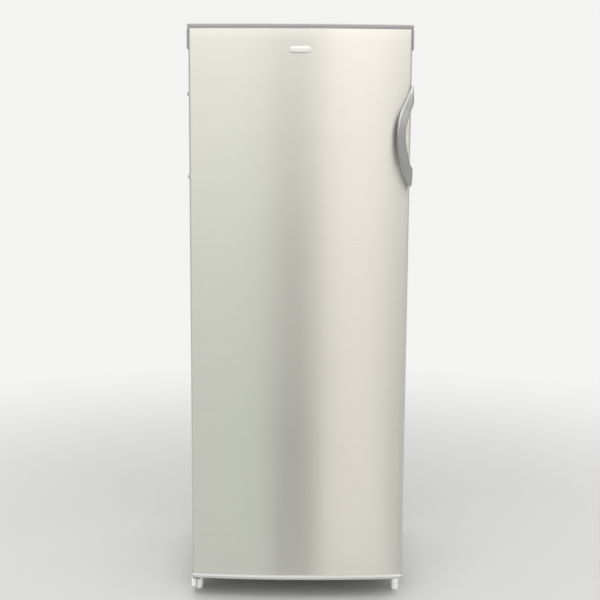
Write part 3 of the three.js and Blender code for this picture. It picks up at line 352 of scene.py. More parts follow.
def unit(vectors):
    """Rows of vectors, each made one long."""
    return vectors / np.linalg.norm(vectors, axis=1, keepdims=True)


def sideways(line):
    """Unit normals of an open line of points, on its left hand as it is walked."""
    along = unit(np.gradient(line, axis=0))
    return np.stack([along[:, 1], -along[:, 0]], 1)


def fitted(made, body, slot, material, *stands_for):
    """Gives a finished piece its material, the body it rides on and the nodes it replaces; the slot is
    not used.
    """
    made.data.materials.clear()
    made.data.materials.append(material)
    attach(made, body)
    if stands_for:
        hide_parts(*stands_for)
    return made


def streaks(nodes, place, scale, detail=3.0):
    """Noise drawn out along X: each streak is as much longer than tall as the scales differ."""
    stretch = added(nodes, "Mapping", {"Scale": scale})
    noise = added(nodes, "TexNoise", {"Scale": 1.0, "Detail": detail, "Roughness": 0.6})
    wire(place, "Object", stretch, "Vector")
    wire(stretch, "Vector", noise, "Vector")
    return noise


def brushed_stainless():
    """Satin stainless steel with horizontal brush marks, so its gloss spreads up and down."""
    material, nodes, output = nodes_of("brushed_stainless")
    place = added(nodes, "TexCoord")
    fine = streaks(nodes, place, (9.0, 9.0, 1500.0))
    broad = streaks(nodes, place, (2.5, 2.5, 240.0))
    cloud = streaks(nodes, place, (1.6, 1.6, 3.0), detail=1.0)
    marks = added(nodes, "Mix", {"Factor": 0.25}, data_type="FLOAT")
    tone = added(nodes, "ValToRGB")
    dark, light = tone.color_ramp.elements
    dark.position, dark.color = 0.25, (0.715, 0.71, 0.68, 1)
    light.position, light.color = 0.75, (0.765, 0.76, 0.73, 1)
    shift = added(nodes, "MapRange", {"To Min": 0.34, "To Max": 0.40})
    bump = added(nodes, "Bump", {"Strength": 0.05, "Distance": 0.0004})
    grain = added(nodes, "Tangent", direction_type="UV_MAP", uv_map="UVMap")
    steel = added(nodes, "BsdfPrincipled", {"Metallic": 1.0, "Anisotropic": 0.97})
    wire(fine, "Fac", marks, "A")
    wire(broad, "Fac", marks, "B")
    wire(marks, "Result", tone, "Fac")
    wire(tone, "Color", steel, "Base Color")
    wire(cloud, "Fac", shift, "Value")
    wire(shift, "Result", steel, "Roughness")
    wire(marks, "Result", bump, "Height")
    wire(bump, "Normal", steel, "Normal")
    wire(grain, "Tangent", steel, "Tangent")
    wire(steel, "BSDF", output, "Surface")
    return material


def steel_skin():
    """The door line carried up the door, from behind the bottom cap's wall to under the top rim.

    Over the last 30 mm below the top cap the front leans back by a parabola of 1.5 mm.
    """
    corner, lean, leaning = 7.5 * MM, 1.5 * MM, 30 * MM
    line = door_line(skin_high[0], corner_line, door_bow, corner, skin_high[1])
    low, high = skin_low[2] - 2.2 * MM, skin_high[2] + 1.8 * MM
    ends = np.array([0.0, 0.15 * MM, 0.5 * MM])
    middle = np.concatenate([np.linspace(low, high - 32 * MM, 40)[1:], high - np.arange(30, 0, -2) * MM])
    levels = np.concatenate([low + ends, middle, (high - ends)[::-1]])
    grid = np.empty((len(levels), len(line), 3))
    grid[..., :2] = line
    drawn_in = np.clip((levels - high + leaning) / leaning, 0, 1)
    front_facing = np.clip((corner_line + corner - line[:, 1]) / corner, 0, 1)
    grid[..., 1] += lean * (drawn_in**2)[:, None] * front_facing
    grid[..., 2] = levels[:, None]
    run = np.concatenate([[0.0], np.cumsum(np.linalg.norm(np.diff(line, axis=0), axis=1))])
    uv = np.stack(np.broadcast_arrays(levels[:, None], run[None, :]), -1)
    skin = laid_sheet("door_skin_sheet", grid, uv=uv, smooth=60)
    wall = skin.modifiers.new("sheet", "SOLIDIFY")
    wall.thickness = 0.9 * MM
    wall.offset = -1.0
    return skin


fitted(steel_skin(), "door", "stainless", brushed_stainless(), "door_skin")


# The door's two end caps are grey moulded plastic: a shallow tray at the top with a rounded rim,
# a channel with a sloping upper edge at the bottom, each with short wings that lap the skin's sides.
def uneven(nodes, output, pattern, dark, light, smoothest, roughest, values):
    """A surface whose tone and roughness both follow a pattern between two values."""
    tone = added(nodes, "Mix", {"A": (*dark, 1), "B": (*light, 1)}, data_type="RGBA")
    gloss = added(nodes, "MapRange", {"To Min": smoothest, "To Max": roughest})
    surface = added(nodes, "BsdfPrincipled", values)
    wire(pattern, "Fac", tone, "Factor")
    wire(pattern, "Fac", gloss, "Value")
    wire(tone, "Result", surface, "Base Color")
    wire(gloss, "Result", surface, "Roughness")
    wire(surface, "BSDF", output, "Surface")
    return surface


def moulded(name, dark, light, roughness, grain=900.0, coat=0.0, speckle=0.12, **values):
    """Moulded plastic, with a fine leathery grain in the bump and a slight unevenness of tone."""
    material, nodes, output = nodes_of(name)
    place = added(nodes, "TexCoord")
    grains = added(nodes, "TexNoise", {"Scale": grain, "Detail": 2.0})
    cloud = added(nodes, "TexNoise", {"Scale": 14.0, "Detail": 3.0})
    bump = added(nodes, "Bump", {"Strength": speckle, "Distance": 0.0002})
    values = {"IOR": 1.49, "Coat Weight": coat, "Coat Roughness": 0.12, **values}
    plastic = uneven(nodes, output, cloud, dark, light, roughness - 0.04, roughness + 0.05, values)
    wire(place, "Object", grains, "Vector")
    wire(place, "Object", cloud, "Vector")
    wire(grains, "Fac", bump, "Height")
    wire(bump, "Normal", plastic, "Normal")
    return material


def rounded(corners, radii, steps=6):
    """A closed outline with each corner replaced by an arc that is tangent to both its sides."""
    corners = np.array(corners, float)
    radii = np.broadcast_to(radii, len(corners))
    before = unit(np.roll(corners, 1, 0) - corners)
    after = unit(np.roll(corners, -1, 0) - corners)
    half = np.arccos(np.clip((before * after).sum(1), -1, 1)) / 2
    middle = unit(before + after)
    centre = corners + middle * (radii / np.sin(half))[:, None]
    start = corners + before * (radii / np.tan(half))[:, None] - centre
    sense = np.sign(before[:, 0] * after[:, 1] - before[:, 1] * after[:, 0])
    turn = -sense[:, None] * (np.pi - 2 * half)[:, None] * np.linspace(0, 1, steps)
    cos, sin = np.cos(turn), np.sin(turn)
    x = start[:, None, 0] * cos - start[:, None, 1] * sin + centre[:, None, 0]
    y = start[:, None, 0] * sin + start[:, None, 1] * cos + centre[:, None, 1]
    return np.stack([x, y], -1).reshape(-1, 2)


def oblong(low, high):
    """The four corners of a rectangle, anticlockwise from its lower left one."""
    (left, bottom), (right, top) = low, high
    return [(left, bottom), (right, bottom), (right, top), (left, top)]


def along_line(name, line, section, smooth=40):
    """A closed section of (inward, up) points carried along a line seen from above, ends filled."""
    normals = sideways(line)
    inward = section[:, 0]
    grid = np.empty((len(line), len(section), 3))
    grid[..., :2] = line[:, None] - normals[:, None] * inward[None, :, None]
    grid[..., 2] = section[:, 1]
    return laid_sheet(name, grid, around=True, ends=True, smooth=smooth)


def upright_plate(name, outline, across, edge):
    """A plate lying in a plane across X: an outline of (depth, up) points with rounded-over rims."""
    thin = across[1] - across[0]
    centre = outline.mean(0)
    steps = np.linspace(0, np.pi / 2, 5)
    inset = np.concatenate([edge * (1 - np.sin(steps)), edge * (1 - np.cos(steps))])
    level = np.concatenate([edge * (1 - np.cos(steps)), thin - edge * (1 - np.sin(steps))])
    away = outline - centre
    reach = np.linalg.norm(away, axis=1, keepdims=True)
    rings = centre + away[None] * (1 - inset[:, None, None] / reach[None])
    grid = np.empty((len(inset), len(outline), 3))
    grid[..., 0] = across[0] + level[:, None]
    grid[..., 1:] = rings
    return laid_sheet(name, grid, around=True, ends=True, smooth=50)


def joined(name, *pieces):
    """Several shells made one object."""
    first = pieces[0]
    with bpy.context.temp_override(active_object=first, selected_editable_objects=list(pieces)):
        bpy.ops.object.join()
    first.name = name
    return first


cap_plastic = moulded("cap_plastic", (0.325, 0.33, 0.325), (0.365, 0.37, 0.365), 0.34, coat=0.3)
# Painted light: the bottom cap's copy of the grey cap plastic is made lighter, for the light that falls
# on it.
cap_plastic_painted_lighter = moulded("cap_plastic_painted_lighter", (0.40, 0.40, 0.385), (0.44, 0.44, 0.425), 0.32, coat=0.3)
top_low, top_high = np.array(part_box("door_top_cap"))
cap_half = top_high[0]
cap_front = corner_line - 2 * MM
rim_height, crown_height, crown_depth = 9 * MM, 4.8 * MM, 2.2 * MM
cap_line = door_line(cap_half, cap_front, door_bow, 9.5 * MM, skin_high[1])
bottom_low = np.array(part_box("door_bottom_cap"))[0]


def wing_plates(name, low, high, rear, corner):
    """The pair of short plates that lap the skin's folded sides."""
    front = corner_line + 5 * MM
    outline = rounded(oblong((front, low), (rear, high)), corner)
    inner = skin_high[0] + 0.3 * MM
    return [
        upright_plate(name + "_right", outline, (inner, cap_half), 0.8 * MM),
        upright_plate(name + "_left", outline, (-cap_half, -inner), 0.8 * MM),
    ]


def flat_tray(name, low, high, inset):
    """A flat sheet that fills the cap line, less an inset all round."""
    inner = cap_line - sideways(cap_line) * inset
    shell = np.empty((2, len(inner), 3))
    shell[..., :2] = inner
    shell[..., 2] = np.array([low, high])[:, None]
    return laid_sheet(name, shell, around=True, ends=True)


def top_cap():
    """Rim, deck and wings: the rim's front is a quarter ellipse over a band that leans in below.

    The rim's underside rests on the skin's edge, and its inner leg goes down behind the skin.
    """
    high = top_high[2]
    deck = high - rim_height
    under = skin_high[2] + 2.1 * MM
    turn = np.linspace(0, np.pi / 2, 12)
    crown = [crown_depth * (1 - np.cos(turn)), high - crown_height * (1 - np.sin(turn))]
    leg = [(3.1, under / MM), (3.1, deck / MM - 2), (3.9, deck / MM - 2), (3.9, high / MM)]
    band = [(0.2 * MM, under + 2.3 * MM)]
    rim = np.concatenate([[(1.7 * MM, under)], np.array(leg) * MM, np.stack(crown, 1)[::-1], band])
    front = along_line("rim", cap_line[4:-4], rim, smooth=32)
    deck_plate = flat_tray("deck", deck - 2.2 * MM, deck, 3.3 * MM)
    wings = wing_plates("wing", top_low[2], deck - 0.2 * MM, corner_line + 48 * MM, 5 * MM)
    return joined("door_top_cap_moulding", front, deck_plate, *wings)


def bottom_cap():
    """A channel whose front wall leans back over its upper 5 mm, and whose ends turn up."""
    low = bottom_low[2]
    high = low + 11.8 * MM
    wall = rounded(
        [(0, low), (4.6 * MM, low), (4.6 * MM, high), (3.6 * MM, high), (0, high - 5.2 * MM)],
        [1.8 * MM, 0.4 * MM, 0.3 * MM, 0.6 * MM, 1.5 * MM],
    )
    front = along_line("wall", cap_line[1:-1], wall, smooth=25)
    floor_plate = flat_tray("floor_plate", low + 0.1 * MM, low + 2.5 * MM, 1.2 * MM)
    wings = wing_plates("upturn", low + 1 * MM, high + 5 * MM, corner_line + 19 * MM, 3 * MM)
    return joined("door_bottom_cap_moulding", front, floor_plate, *wings)


def painted_highlight(material, low, high, way, colour):
    """Painted highlight on a moulding: paler the more squarely a face meets the way given.

    The way is a direction in object space, so the painted highlight stays put when the piece
    moves. It grows where the dot product of the face's normal and the way goes from low to high.
    """
    nodes = material.node_tree.nodes
    plastic = next(node for node in nodes if node.type == "BSDF_PRINCIPLED")
    surface = added(nodes, "TexCoord")
    facing = added(nodes, "VectorMath", {1: way}, operation="DOT_PRODUCT")
    highlight_share = added(nodes, "MapRange", {"From Min": low, "From Max": high}, interpolation_type="SMOOTHSTEP")
    painted_highlight_tone = added(nodes, "Mix", {"B": (*colour, 1)}, data_type="RGBA")
    tone = plastic.inputs["Base Color"].links[0].from_socket
    wire(surface, "Normal", facing, 0)
    wire(facing, "Value", highlight_share, "Value")
    wire(highlight_share, "Result", painted_highlight_tone, "Factor")
    wire(tone.node, tone.name, painted_highlight_tone, "A")
    wire(painted_highlight_tone, "Result", plastic, "Base Color")


# Painted highlights: faces of the caps that turn upwards are painted paler, on the bottom cap's sloping
# edge and the top cap's rim.
painted_highlight(cap_plastic_painted_lighter, 0.35, 0.62, (0.0, -0.12, 0.99), (0.64, 0.63, 0.61))
painted_highlight(cap_plastic, 0.25, 0.75, (0.0, -0.12, 0.99), (0.74, 0.74, 0.73))
# Painted light: the faces of the caps' wings that turn sideways are painted paler.
for side in (-1, 1):
    painted_highlight(cap_plastic, 0.75, 0.97, (side * 0.98, -0.17, 0.05), (0.72, 0.72, 0.71))
fitted(top_cap(), "door", "cap_grey", cap_plastic, "door_top_cap")
fitted(bottom_cap(), "door", "cap_grey", cap_plastic_painted_lighter, "door_bottom_cap")


# The handle is one moulding of glossy grey plastic, with a painted highlight along the bow's outer
# bevel. The bow stands clear of the door like a crescent, and at both ends a foot wraps the door's side.
def through(points, where):
    """A smooth curve through rows of (station, value, ...), read at the stations asked for."""
    points = np.array(points, float)
    station, values = points[:, 0], points[:, 1:]
    slope = np.gradient(values, station, axis=0)
    i = np.clip(np.searchsorted(station, where) - 1, 0, len(station) - 2)
    span = (station[i + 1] - station[i])[:, None]
    t = np.clip((where - station[i])[:, None] / span, 0, 1)
    return (
        (1 + 2 * t) * (1 - t) ** 2 * values[i]
        + t * (1 - t) ** 2 * span * slope[i]
        + t**2 * (3 - 2 * t) * values[i + 1]
        + t**2 * (t - 1) * span * slope[i + 1]
    )


handle_low, handle_high = np.array(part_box("door_handle"))
handle_middle = (handle_low[2] + handle_high[2]) / 2
# height from the middle, left edge, right edge, front and rear depth behind the front corners, in mm
handle_stations = [
    (-120, 265.6, 269.8, -20.5, -15.0),
    (-115, 262.6, 270.9, -22.6, -9.0),
    (-108, 258.6, 271.9, -25.4, -3.5),
    (-97, 252.9, 272.2, -29.3, -2.2),
    (-84, 247.8, 272.2, -33.4, -2.0),
    (-76, 245.0, 271.2, -35.6, -4.0),
    (-67, 242.2, 265.8, -37.8, -15.0),
    (-58, 239.9, 262.6, -39.8, -25.0),
    (-46, 237.2, 260.0, -42.0, -29.6),
    (-31, 234.6, 256.2, -44.1, -32.0),
    (-12, 232.7, 253.0, -45.6, -33.6),
    (2, 232.3, 252.3, -46.0, -34.0),
    (20, 233.0, 253.4, -45.2, -33.2),
    (38, 235.0, 257.6, -43.2, -31.2),
    (50, 237.6, 262.0, -41.2, -28.4),
    (59, 240.6, 264.6, -39.4, -21.0),
    (68, 244.4, 268.6, -37.2, -8.0),
    (77, 248.3, 271.6, -35.0, -3.0),
    (90, 254.0, 272.2, -31.2, -2.2),
    (103, 259.8, 272.0, -27.0, -3.5),
    (112, 263.8, 271.6, -23.6, -9.0),
    (120, 267.4, 270.6, -20.4, -16.0),
]
# across and down the section, each from 0 to 1: a flat face with a slanting bevel at its left
handle_section = [
    (0.00, 0.44), (0.015, 0.32), (0.055, 0.18), (0.105, 0.07), (0.15, 0.015), (0.21, 0.0),
    (0.36, 0.0), (0.54, 0.0), (0.72, 0.0), (0.86, 0.01), (0.94, 0.05), (0.985, 0.13), (1.0, 0.26),
    (1.0, 0.42), (1.0, 0.60), (1.0, 0.78), (0.975, 0.90), (0.91, 0.97), (0.80, 1.0),
    (0.62, 1.0), (0.42, 1.0), (0.24, 1.0), (0.11, 0.97), (0.03, 0.88), (0.0, 0.74), (0.0, 0.58),
]


def handle_bow():
    """The section's unit square stretched to each station's edges and depths."""
    where = np.linspace(handle_stations[0][0], handle_stations[-1][0], 121)
    left, right, front, rear = through(handle_stations, where).T
    count = len(handle_section)
    looped = np.concatenate([handle_section[-2:], handle_section, handle_section[:3]])
    rows = np.column_stack([np.arange(-2, count + 3), looped])
    section = through(rows, np.linspace(0, count, 78, endpoint=False))
    grid = np.empty((len(where), len(section), 3))
    grid[..., 0] = (left[:, None] + (right - left)[:, None] * section[:, 0]) * MM
    grid[..., 1] = (front[:, None] + (rear - front)[:, None] * section[:, 1]) * MM + corner_line
    grid[..., 2] = handle_middle + where[:, None] * MM
    grid[..., 0] = np.minimum(grid[..., 0], handle_high[0])
    return laid_sheet("handle_bow", grid, around=True, ends=True, smooth=60)


def handle_feet():
    """Two rounded plates on the door's side, one at each end of the bow."""
    feet = []
    front, rear = corner_line - 14 * MM, corner_line + 26 * MM
    for side in (-1, 1):
        low = handle_middle + side * 99.5 * MM - 18 * MM
        high = low + 36 * MM
        outline = rounded(oblong((front, low), (rear, high)), 7 * MM, steps=8)
        across = (skin_high[0] + 0.3 * MM, handle_high[0])
        feet.append(upright_plate("foot", outline, across, 1.0 * MM))
    return feet


dark, light = (0.235, 0.24, 0.235), (0.27, 0.275, 0.27)
glossy = {"IOR": 1.6, "Coat Roughness": 0.06}
handle_grey = moulded("handle_plastic", dark, light, 0.22, coat=0.8, speckle=0.02, **glossy)
# Painted highlight: the bevel faces that turn up and to the left are painted pale.
painted_highlight(handle_grey, 0.74, 0.98, (-0.47, -0.67, 0.575), (0.80, 0.81, 0.80))
handle = joined("door_handle_moulding", handle_bow(), *handle_feet())
fitted(handle, "door", "handle_grey", handle_grey, "door_handle")


# Two plugs close the holes at the door's left side, where the handle goes on a door hung the other
# way. Each is a grey plastic button with a rounded rim.
def turned_piece(name, profile, place, axis, sides=32, smooth=40, looped=False):
    """A profile of (radius, distance along the axis) points turned once round the axis, all in mm.

    Its two ends are filled, or with looped it closes on itself and leaves a bore.
    """
    profile = np.array(profile, float)
    turn = np.linspace(0, 2 * np.pi, sides, endpoint=False)
    radius, along = profile[:, 0], profile[:, 1]
    first, second = {"x": (1, 2), "y": (2, 0), "z": (0, 1)}[axis]
    grid = np.empty((len(profile), sides, 3))
    grid[..., "xyz".index(axis)] = along[:, None]
    grid[..., first] = radius[:, None] * np.cos(turn)
    grid[..., second] = radius[:, None] * np.sin(turn)
    grid = (grid + np.array(place)) * MM
    return laid_sheet(name, grid, around=True, ends=not looped, looped=looped, smooth=smooth)


for level in ("lower", "upper"):
    low, high = np.array(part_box(f"side_plug_{level}")) / MM
    centre = (low + high) / 2
    outer, inner, radius = low[0], -skin_high[0] / MM - 0.3, (high[2] - low[2]) / 2
    profile = [
        (0.4, outer + 0.25), (radius * 0.45, outer + 0.05), (radius * 0.72, outer),
        (radius - 0.9, outer + 0.15), (radius - 0.3, outer + 0.6), (radius, outer + 1.3),
        (radius, inner), (3.2, inner), (3.2, high[0]), (0.4, high[0]),
    ]
    plug = turned_piece(f"plug_{level}", profile, (0, centre[1], centre[2]), "x")
    fitted(plug, "door", "cap_grey", cap_plastic, f"side_plug_{level}")


# A small plain plate is stuck to the skin below the top cap. Its face is pale satin aluminium,
# slightly domed, with a bevelled rim.
badge_low, badge_high = np.array(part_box("badge_plate"))


def satin_plate():
    """Pale satin metal with a very fine upright grain."""
    material, nodes, output = nodes_of("satin_plate")
    marks = streaks(nodes, added(nodes, "TexCoord"), (2200.0, 40.0, 60.0))
    dark, light = (0.74, 0.74, 0.74), (0.80, 0.80, 0.79)
    uneven(nodes, output, marks, dark, light, 0.30, 0.42, {"Metallic": 1.0})
    return material


def badge():
    """A long rounded outline in rings: the rim rises steeply, and the face is a low dome."""
    half_wide = badge_high[0]
    half_tall = (badge_high[2] - badge_low[2]) / 2
    middle = (badge_high[2] + badge_low[2]) / 2
    corners = oblong((-half_wide, -half_tall), (half_wide, half_tall))
    outline = rounded(corners, half_tall * 0.97, steps=12)
    share = np.array([1.0, 1.0, 0.985, 0.95, 0.75, 0.5, 0.2])
    rise = np.array([0.0, 0.45, 0.75, 0.84, 0.93, 0.98, 1.0])
    grid = np.empty((len(share), len(outline), 3))
    grid[..., 0] = outline[:, 0] * share[:, None] ** 0.6
    grid[..., 2] = middle + outline[:, 1] * share[:, None]
    grid[..., 1] = badge_high[1] - (badge_high[1] - badge_low[1]) * rise[:, None]
    return laid_sheet("badge", grid, around=True, ends=True, smooth=30)


fitted(badge(), "door", "plain_plate", satin_plate(), "badge_plate")


# The two front feet are white plastic glides with a rounded sole, on a screw stem that goes up into
# the base.
white_plastic = moulded("white_plastic", (0.86, 0.86, 0.85), (0.89, 0.89, 0.88), 0.34, coat=0.2)
for side in ("left", "right"):
    low, high = np.array(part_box(f"front_foot_{side}")) / MM
    centre = (low + high) / 2
    radius, sole = high[0] - centre[0], 6.5
    turn = np.linspace(0, np.pi / 2, 9)
    rounding = np.stack([radius - sole * (1 - np.sin(turn)), sole * (1 - np.cos(turn))], 1)
    shaft = [(radius, 39.0), (radius - 1.0, 40.0), (4.0, 40.0)]
    shaft += [(4.0, high[2] - 0.6), (3.4, high[2]), (0.3, high[2])]
    profile = np.concatenate([[(0.3, 0.0)], rounding, shaft])
    glide = turned_piece(f"glide_{side}", profile, (centre[0], centre[1], 0), "z")
    fitted(glide, f"foot_{side}", "white_plastic", white_plastic, f"front_foot_{side}")


# The cabinet is folded and enamelled sheet steel with a moulded plastic worktop. The sheets are
# folded at the edges, and the worktop is pressed on over them.
def painted(name, colour, roughness, peel=260.0):
    """Baked enamel: an even tone with a faint orange peel."""
    dark = tuple(0.97 * c for c in colour)
    return moulded(name, dark, colour, roughness, grain=peel, coat=0.25, speckle=0.05)


def softened(node, width, segments=3, smooth=35):
    """A copy of a CAD solid, its flat faces made whole again and its edges rounded by a bevel."""
    mesh = frame["nodes"][node].data.copy()
    shell = bmesh.new()
    shell.from_mesh(mesh)
    bmesh.ops.remove_doubles(shell, verts=shell.verts, dist=0.002 * MM)
    bmesh.ops.dissolve_limit(shell, angle_limit=np.radians(0.5), verts=shell.verts, edges=shell.edges)
    shell.to_mesh(mesh)
    shell.free()
    copy = placed(node + "_finished", mesh, smooth)
    if width:
        edge = copy.modifiers.new("edge", "BEVEL")
        edge.width = width
        edge.segments = segments
        edge.limit_method = "ANGLE"
        edge.angle_limit = np.radians(smooth)
        edge.use_clamp_overlap = True
        edge.harden_normals = True
    return copy


carried_by = {
    node: body for body, nodes in frame["record"]["behaviour"]["bodies"].items() for node in nodes
}


def dressed(width, slot, material, *nodes):
    """Softened copies of several CAD solids, all in one finish, each on its own body."""
    for node in nodes:
        fitted(softened(node, width * MM), carried_by[node], slot, material, node)


def bare_metal(name, dark, light, roughness, blotch=40.0):
    """Uncoated metal: cloudy patches of tone and gloss, and the fine pits of its surface."""
    material, nodes, output = nodes_of(name)
    place = added(nodes, "TexCoord")
    cloud = added(nodes, "TexNoise", {"Scale": blotch, "Detail": 4.0})
    pits = added(nodes, "TexVoronoi", {"Scale": 1400.0})
    bump = added(nodes, "Bump", {"Strength": 0.08, "Distance": 0.0001})
    low, high = roughness - 0.08, roughness + 0.10
    metal = uneven(nodes, output, cloud, dark, light, low, high, {"Metallic": 1.0})
    wire(place, "Object", cloud, "Vector")
    wire(place, "Object", pits, "Vector")
    wire(pits, "Distance", bump, "Height")
    wire(bump, "Normal", metal, "Normal")
    return material


white_enamel = painted("white_enamel", (0.80, 0.80, 0.785), 0.32)
dressed(0.4, "white_paint", white_enamel, "outer_wrap", "back_panel", "bottom_hinge_bracket")
dressed(1.0, "white_plastic", white_plastic, "worktop")
dressed(0.5, "white_plastic", white_plastic, "hinge_cover")


# The hinges are zinc-plated steel: bent brackets screwed to the cabinet, round pins that the door's
# white bushes turn on, and a dark lock screw in the lower bracket's front lip.
zinc = bare_metal("zinc_steel", (0.46, 0.47, 0.48), (0.60, 0.61, 0.62), 0.38)
dressed(0.3, "zinc_steel", zinc, "top_hinge_bracket")
dressed(0.0, "zinc_steel", zinc, "top_hinge_pin", "bottom_hinge_pin")
dressed(0.0, "zinc_steel", zinc, "handle_screw_lower", "handle_screw_upper")
dressed(0.0, "zinc_steel", zinc, "top_hinge_screw_1", "top_hinge_screw_2")
dressed(0.0, "zinc_steel", zinc, "bottom_hinge_screw_1", "bottom_hinge_screw_2")
dressed(0.0, "white_plastic", white_plastic, "top_hinge_bush", "bottom_hinge_bush")
black_plastic = moulded("black_plastic", (0.02, 0.02, 0.022), (0.03, 0.03, 0.032), 0.42)
screw_head = [
    (0.3, -1.2), (0.9, -1.2), (1.0, -1.7), (1.9, -1.5), (2.8, -0.8), (3.1, 0.0), (3.1, 1.5), (0.3, 1.5),
]
in_the_lip = np.array(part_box("bottom_hinge_bracket"))[0] / MM + (6.2, 0.0, 44.5)
lip_screw = turned_piece("lip_screw", screw_head, in_the_lip, "y")
fitted(lip_screw, "cabinet", "black_plastic", black_plastic)


# The base frame is folded from zinc-plated sheet. At its rear two hard plastic rollers turn on
# pressed-in axles; their treads are rounded and their faces dished.
dressed(0.3, "zinc_steel", zinc, "base_frame")
dressed(0.0, "zinc_steel", zinc, "roller_axle_left", "roller_axle_right")
for side in ("left", "right"):
    low, high = np.array(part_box(f"rear_roller_{side}")) / MM
    rim, wide = (high[2] - low[2]) / 2, high[0] - low[0]
    face = [(5.4, 0), (9.0, 0), (9.6, 1.2), (12.0, 1.2), (12.7, 0), (rim - 0.9, 0.2), (rim, 1.4)]
    other_face = np.array(face)[::-1] * (1, -1) + (0, wide)
    profile = np.concatenate([face, other_face])
    place = (low[0], (low[1] + high[1]) / 2, (low[2] + high[2]) / 2)
    roller = turned_piece(f"roller_{side}", profile, place, "x", sides=48, looped=True)
    fitted(roller, f"roller_{side}", "black_plastic", black_plastic, f"rear_roller_{side}")


# The compressor is a drawn steel shell in black enamel, welded round its middle, and it stands on
# four rubber grommets. Its relay sits under a black box, and the mains lead goes in at a gland.
black_enamel = painted("black_enamel", (0.016, 0.016, 0.018), 0.33)
black_rubber = moulded("black_rubber", (0.018,) * 3, (0.03,) * 3, 0.72, grain=500.0, speckle=0.3)
dressed(0.0, "black_paint", black_enamel, "compressor")
weld = [(66, -4), (73.0, -3.2), (74.2, -1.6), (74.6, 0), (74.2, 1.6), (73.0, 3.2), (66, 4)]
shell_middle = (55, 189.85, 138.5)
seam = turned_piece("compressor_seam", weld, shell_middle, "z", sides=96)
fitted(seam, "cabinet", "black_paint", black_enamel)
places = ("front_left", "front_right", "rear_left", "rear_right")
grommets = [f"compressor_grommet_{place}" for place in places]
dressed(0.0, "black_rubber", black_rubber, *grommets)
dressed(1.0, "black_plastic", black_plastic, "relay_box")
dressed(0.6, "black_plastic", black_plastic, "rear_spacer_left", "rear_spacer_right", "condenser_clip")
gland_low, gland_high = np.array(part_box("cord_gland")) / MM
gland_ribs = [
    (0.3, 0), (10, 0), (10, 2), (7.6, 2.3), (7.6, 3.5), (9.4, 3.8), (9.4, 5), (7.1, 5.3), (7.1, 6.6),
    (8.7, 6.9), (8.7, 8.2), (6.5, 8.5), (6.5, 10), (7.8, 10.3), (7.8, 14.4), (7.3, 15), (3.4, 15),
    (3, 12), (0.3, 12),
]
gland_middle = (gland_low + gland_high) / 2
gland_end = (gland_middle[0], gland_low[1], gland_middle[2])
gland = turned_piece("cord_gland_ribbed", gland_ribs, gland_end, "y", smooth=30)
fitted(gland, "cabinet", "black_plastic", black_plastic, "cord_gland")


# The refrigerant runs in drawn tube: copper at the compressor, black enamelled steel in the
# condenser, where thin wires are welded across both faces of the snake of tube.
def bent(corners, bend, steps=8):
    """A line through corner points whose corners are arcs of one radius, tangent to both sides.

    At a share s of an arc that turns by a, with u and w from its centre to its two ends, the point
    is the centre plus (u sin((1 - s) a) + w sin(s a)) / sin(a).
    """
    corners = np.array(corners, float) * MM
    back = unit(corners[:-2] - corners[1:-1])
    ahead = unit(corners[2:] - corners[1:-1])
    half = np.arccos(np.clip((back * ahead).sum(1), -1, 1)) / 2
    middle = unit(back + ahead)
    centre = corners[1:-1] + middle * (bend * MM / np.sin(half))[:, None]
    reach = (bend * MM / np.tan(half))[:, None]
    first = (corners[1:-1] + back * reach - centre)[:, None]
    last = (corners[1:-1] + ahead * reach - centre)[:, None]
    turn = (np.pi - 2 * half)[:, None, None]
    share = np.linspace(0, 1, steps)[None, :, None]
    swept = first * np.sin((1 - share) * turn) + last * np.sin(share * turn)
    arcs = centre[:, None] + swept / np.sin(turn)
    line = np.concatenate([corners[:1], arcs.reshape(-1, 3), corners[-1:]])
    apart = np.linalg.norm(np.diff(line, axis=0), axis=1) > 1e-6
    return line[np.concatenate([[True], apart])]


def rings_square_to(along, radius, sides):
    """For each direction a circle square to it, as offsets; one slanting vector sets its turn."""
    first = unit(np.cross(along, (0.53, 0.61, 0.59)))
    second = unit(np.cross(along, first))
    turn = np.linspace(0, 2 * np.pi, sides, endpoint=False)[None, :, None]
    return radius * MM * (first[:, None] * np.cos(turn) + second[:, None] * np.sin(turn))


def tube(name, line, radius, sides=16):
    """A circle carried along a line, with both ends filled."""
    rings = line[:, None] + rings_square_to(np.gradient(line, axis=0), radius, sides)
    return laid_sheet(name, rings, around=True, ends=True)


def wires(name, starts, ends, radius, sides=6):
    """Straight round wires, one from each start to its end, as short closed prisms."""
    starts, ends = np.array(starts, float) * MM, np.array(ends, float) * MM
    ring = rings_square_to(ends - starts, radius, sides)
    points = np.stack([starts[:, None] + ring, ends[:, None] + ring], 1)
    index = np.arange(points.size // 3).reshape(len(starts), 2, sides)
    beside = np.roll(index, -1, 2)
    quads = np.stack([index[:, 0], beside[:, 0], beside[:, 1], index[:, 1]], -1).reshape(-1, 4)
    faces = quads.tolist() + index[:, 0, ::-1].tolist() + index[:, 1].tolist()
    mesh = bpy.data.meshes.new(name)
    mesh.from_pydata(points.reshape(-1, 3).tolist(), [], faces)
    faced_out(mesh)
    return placed(name, mesh, 70)


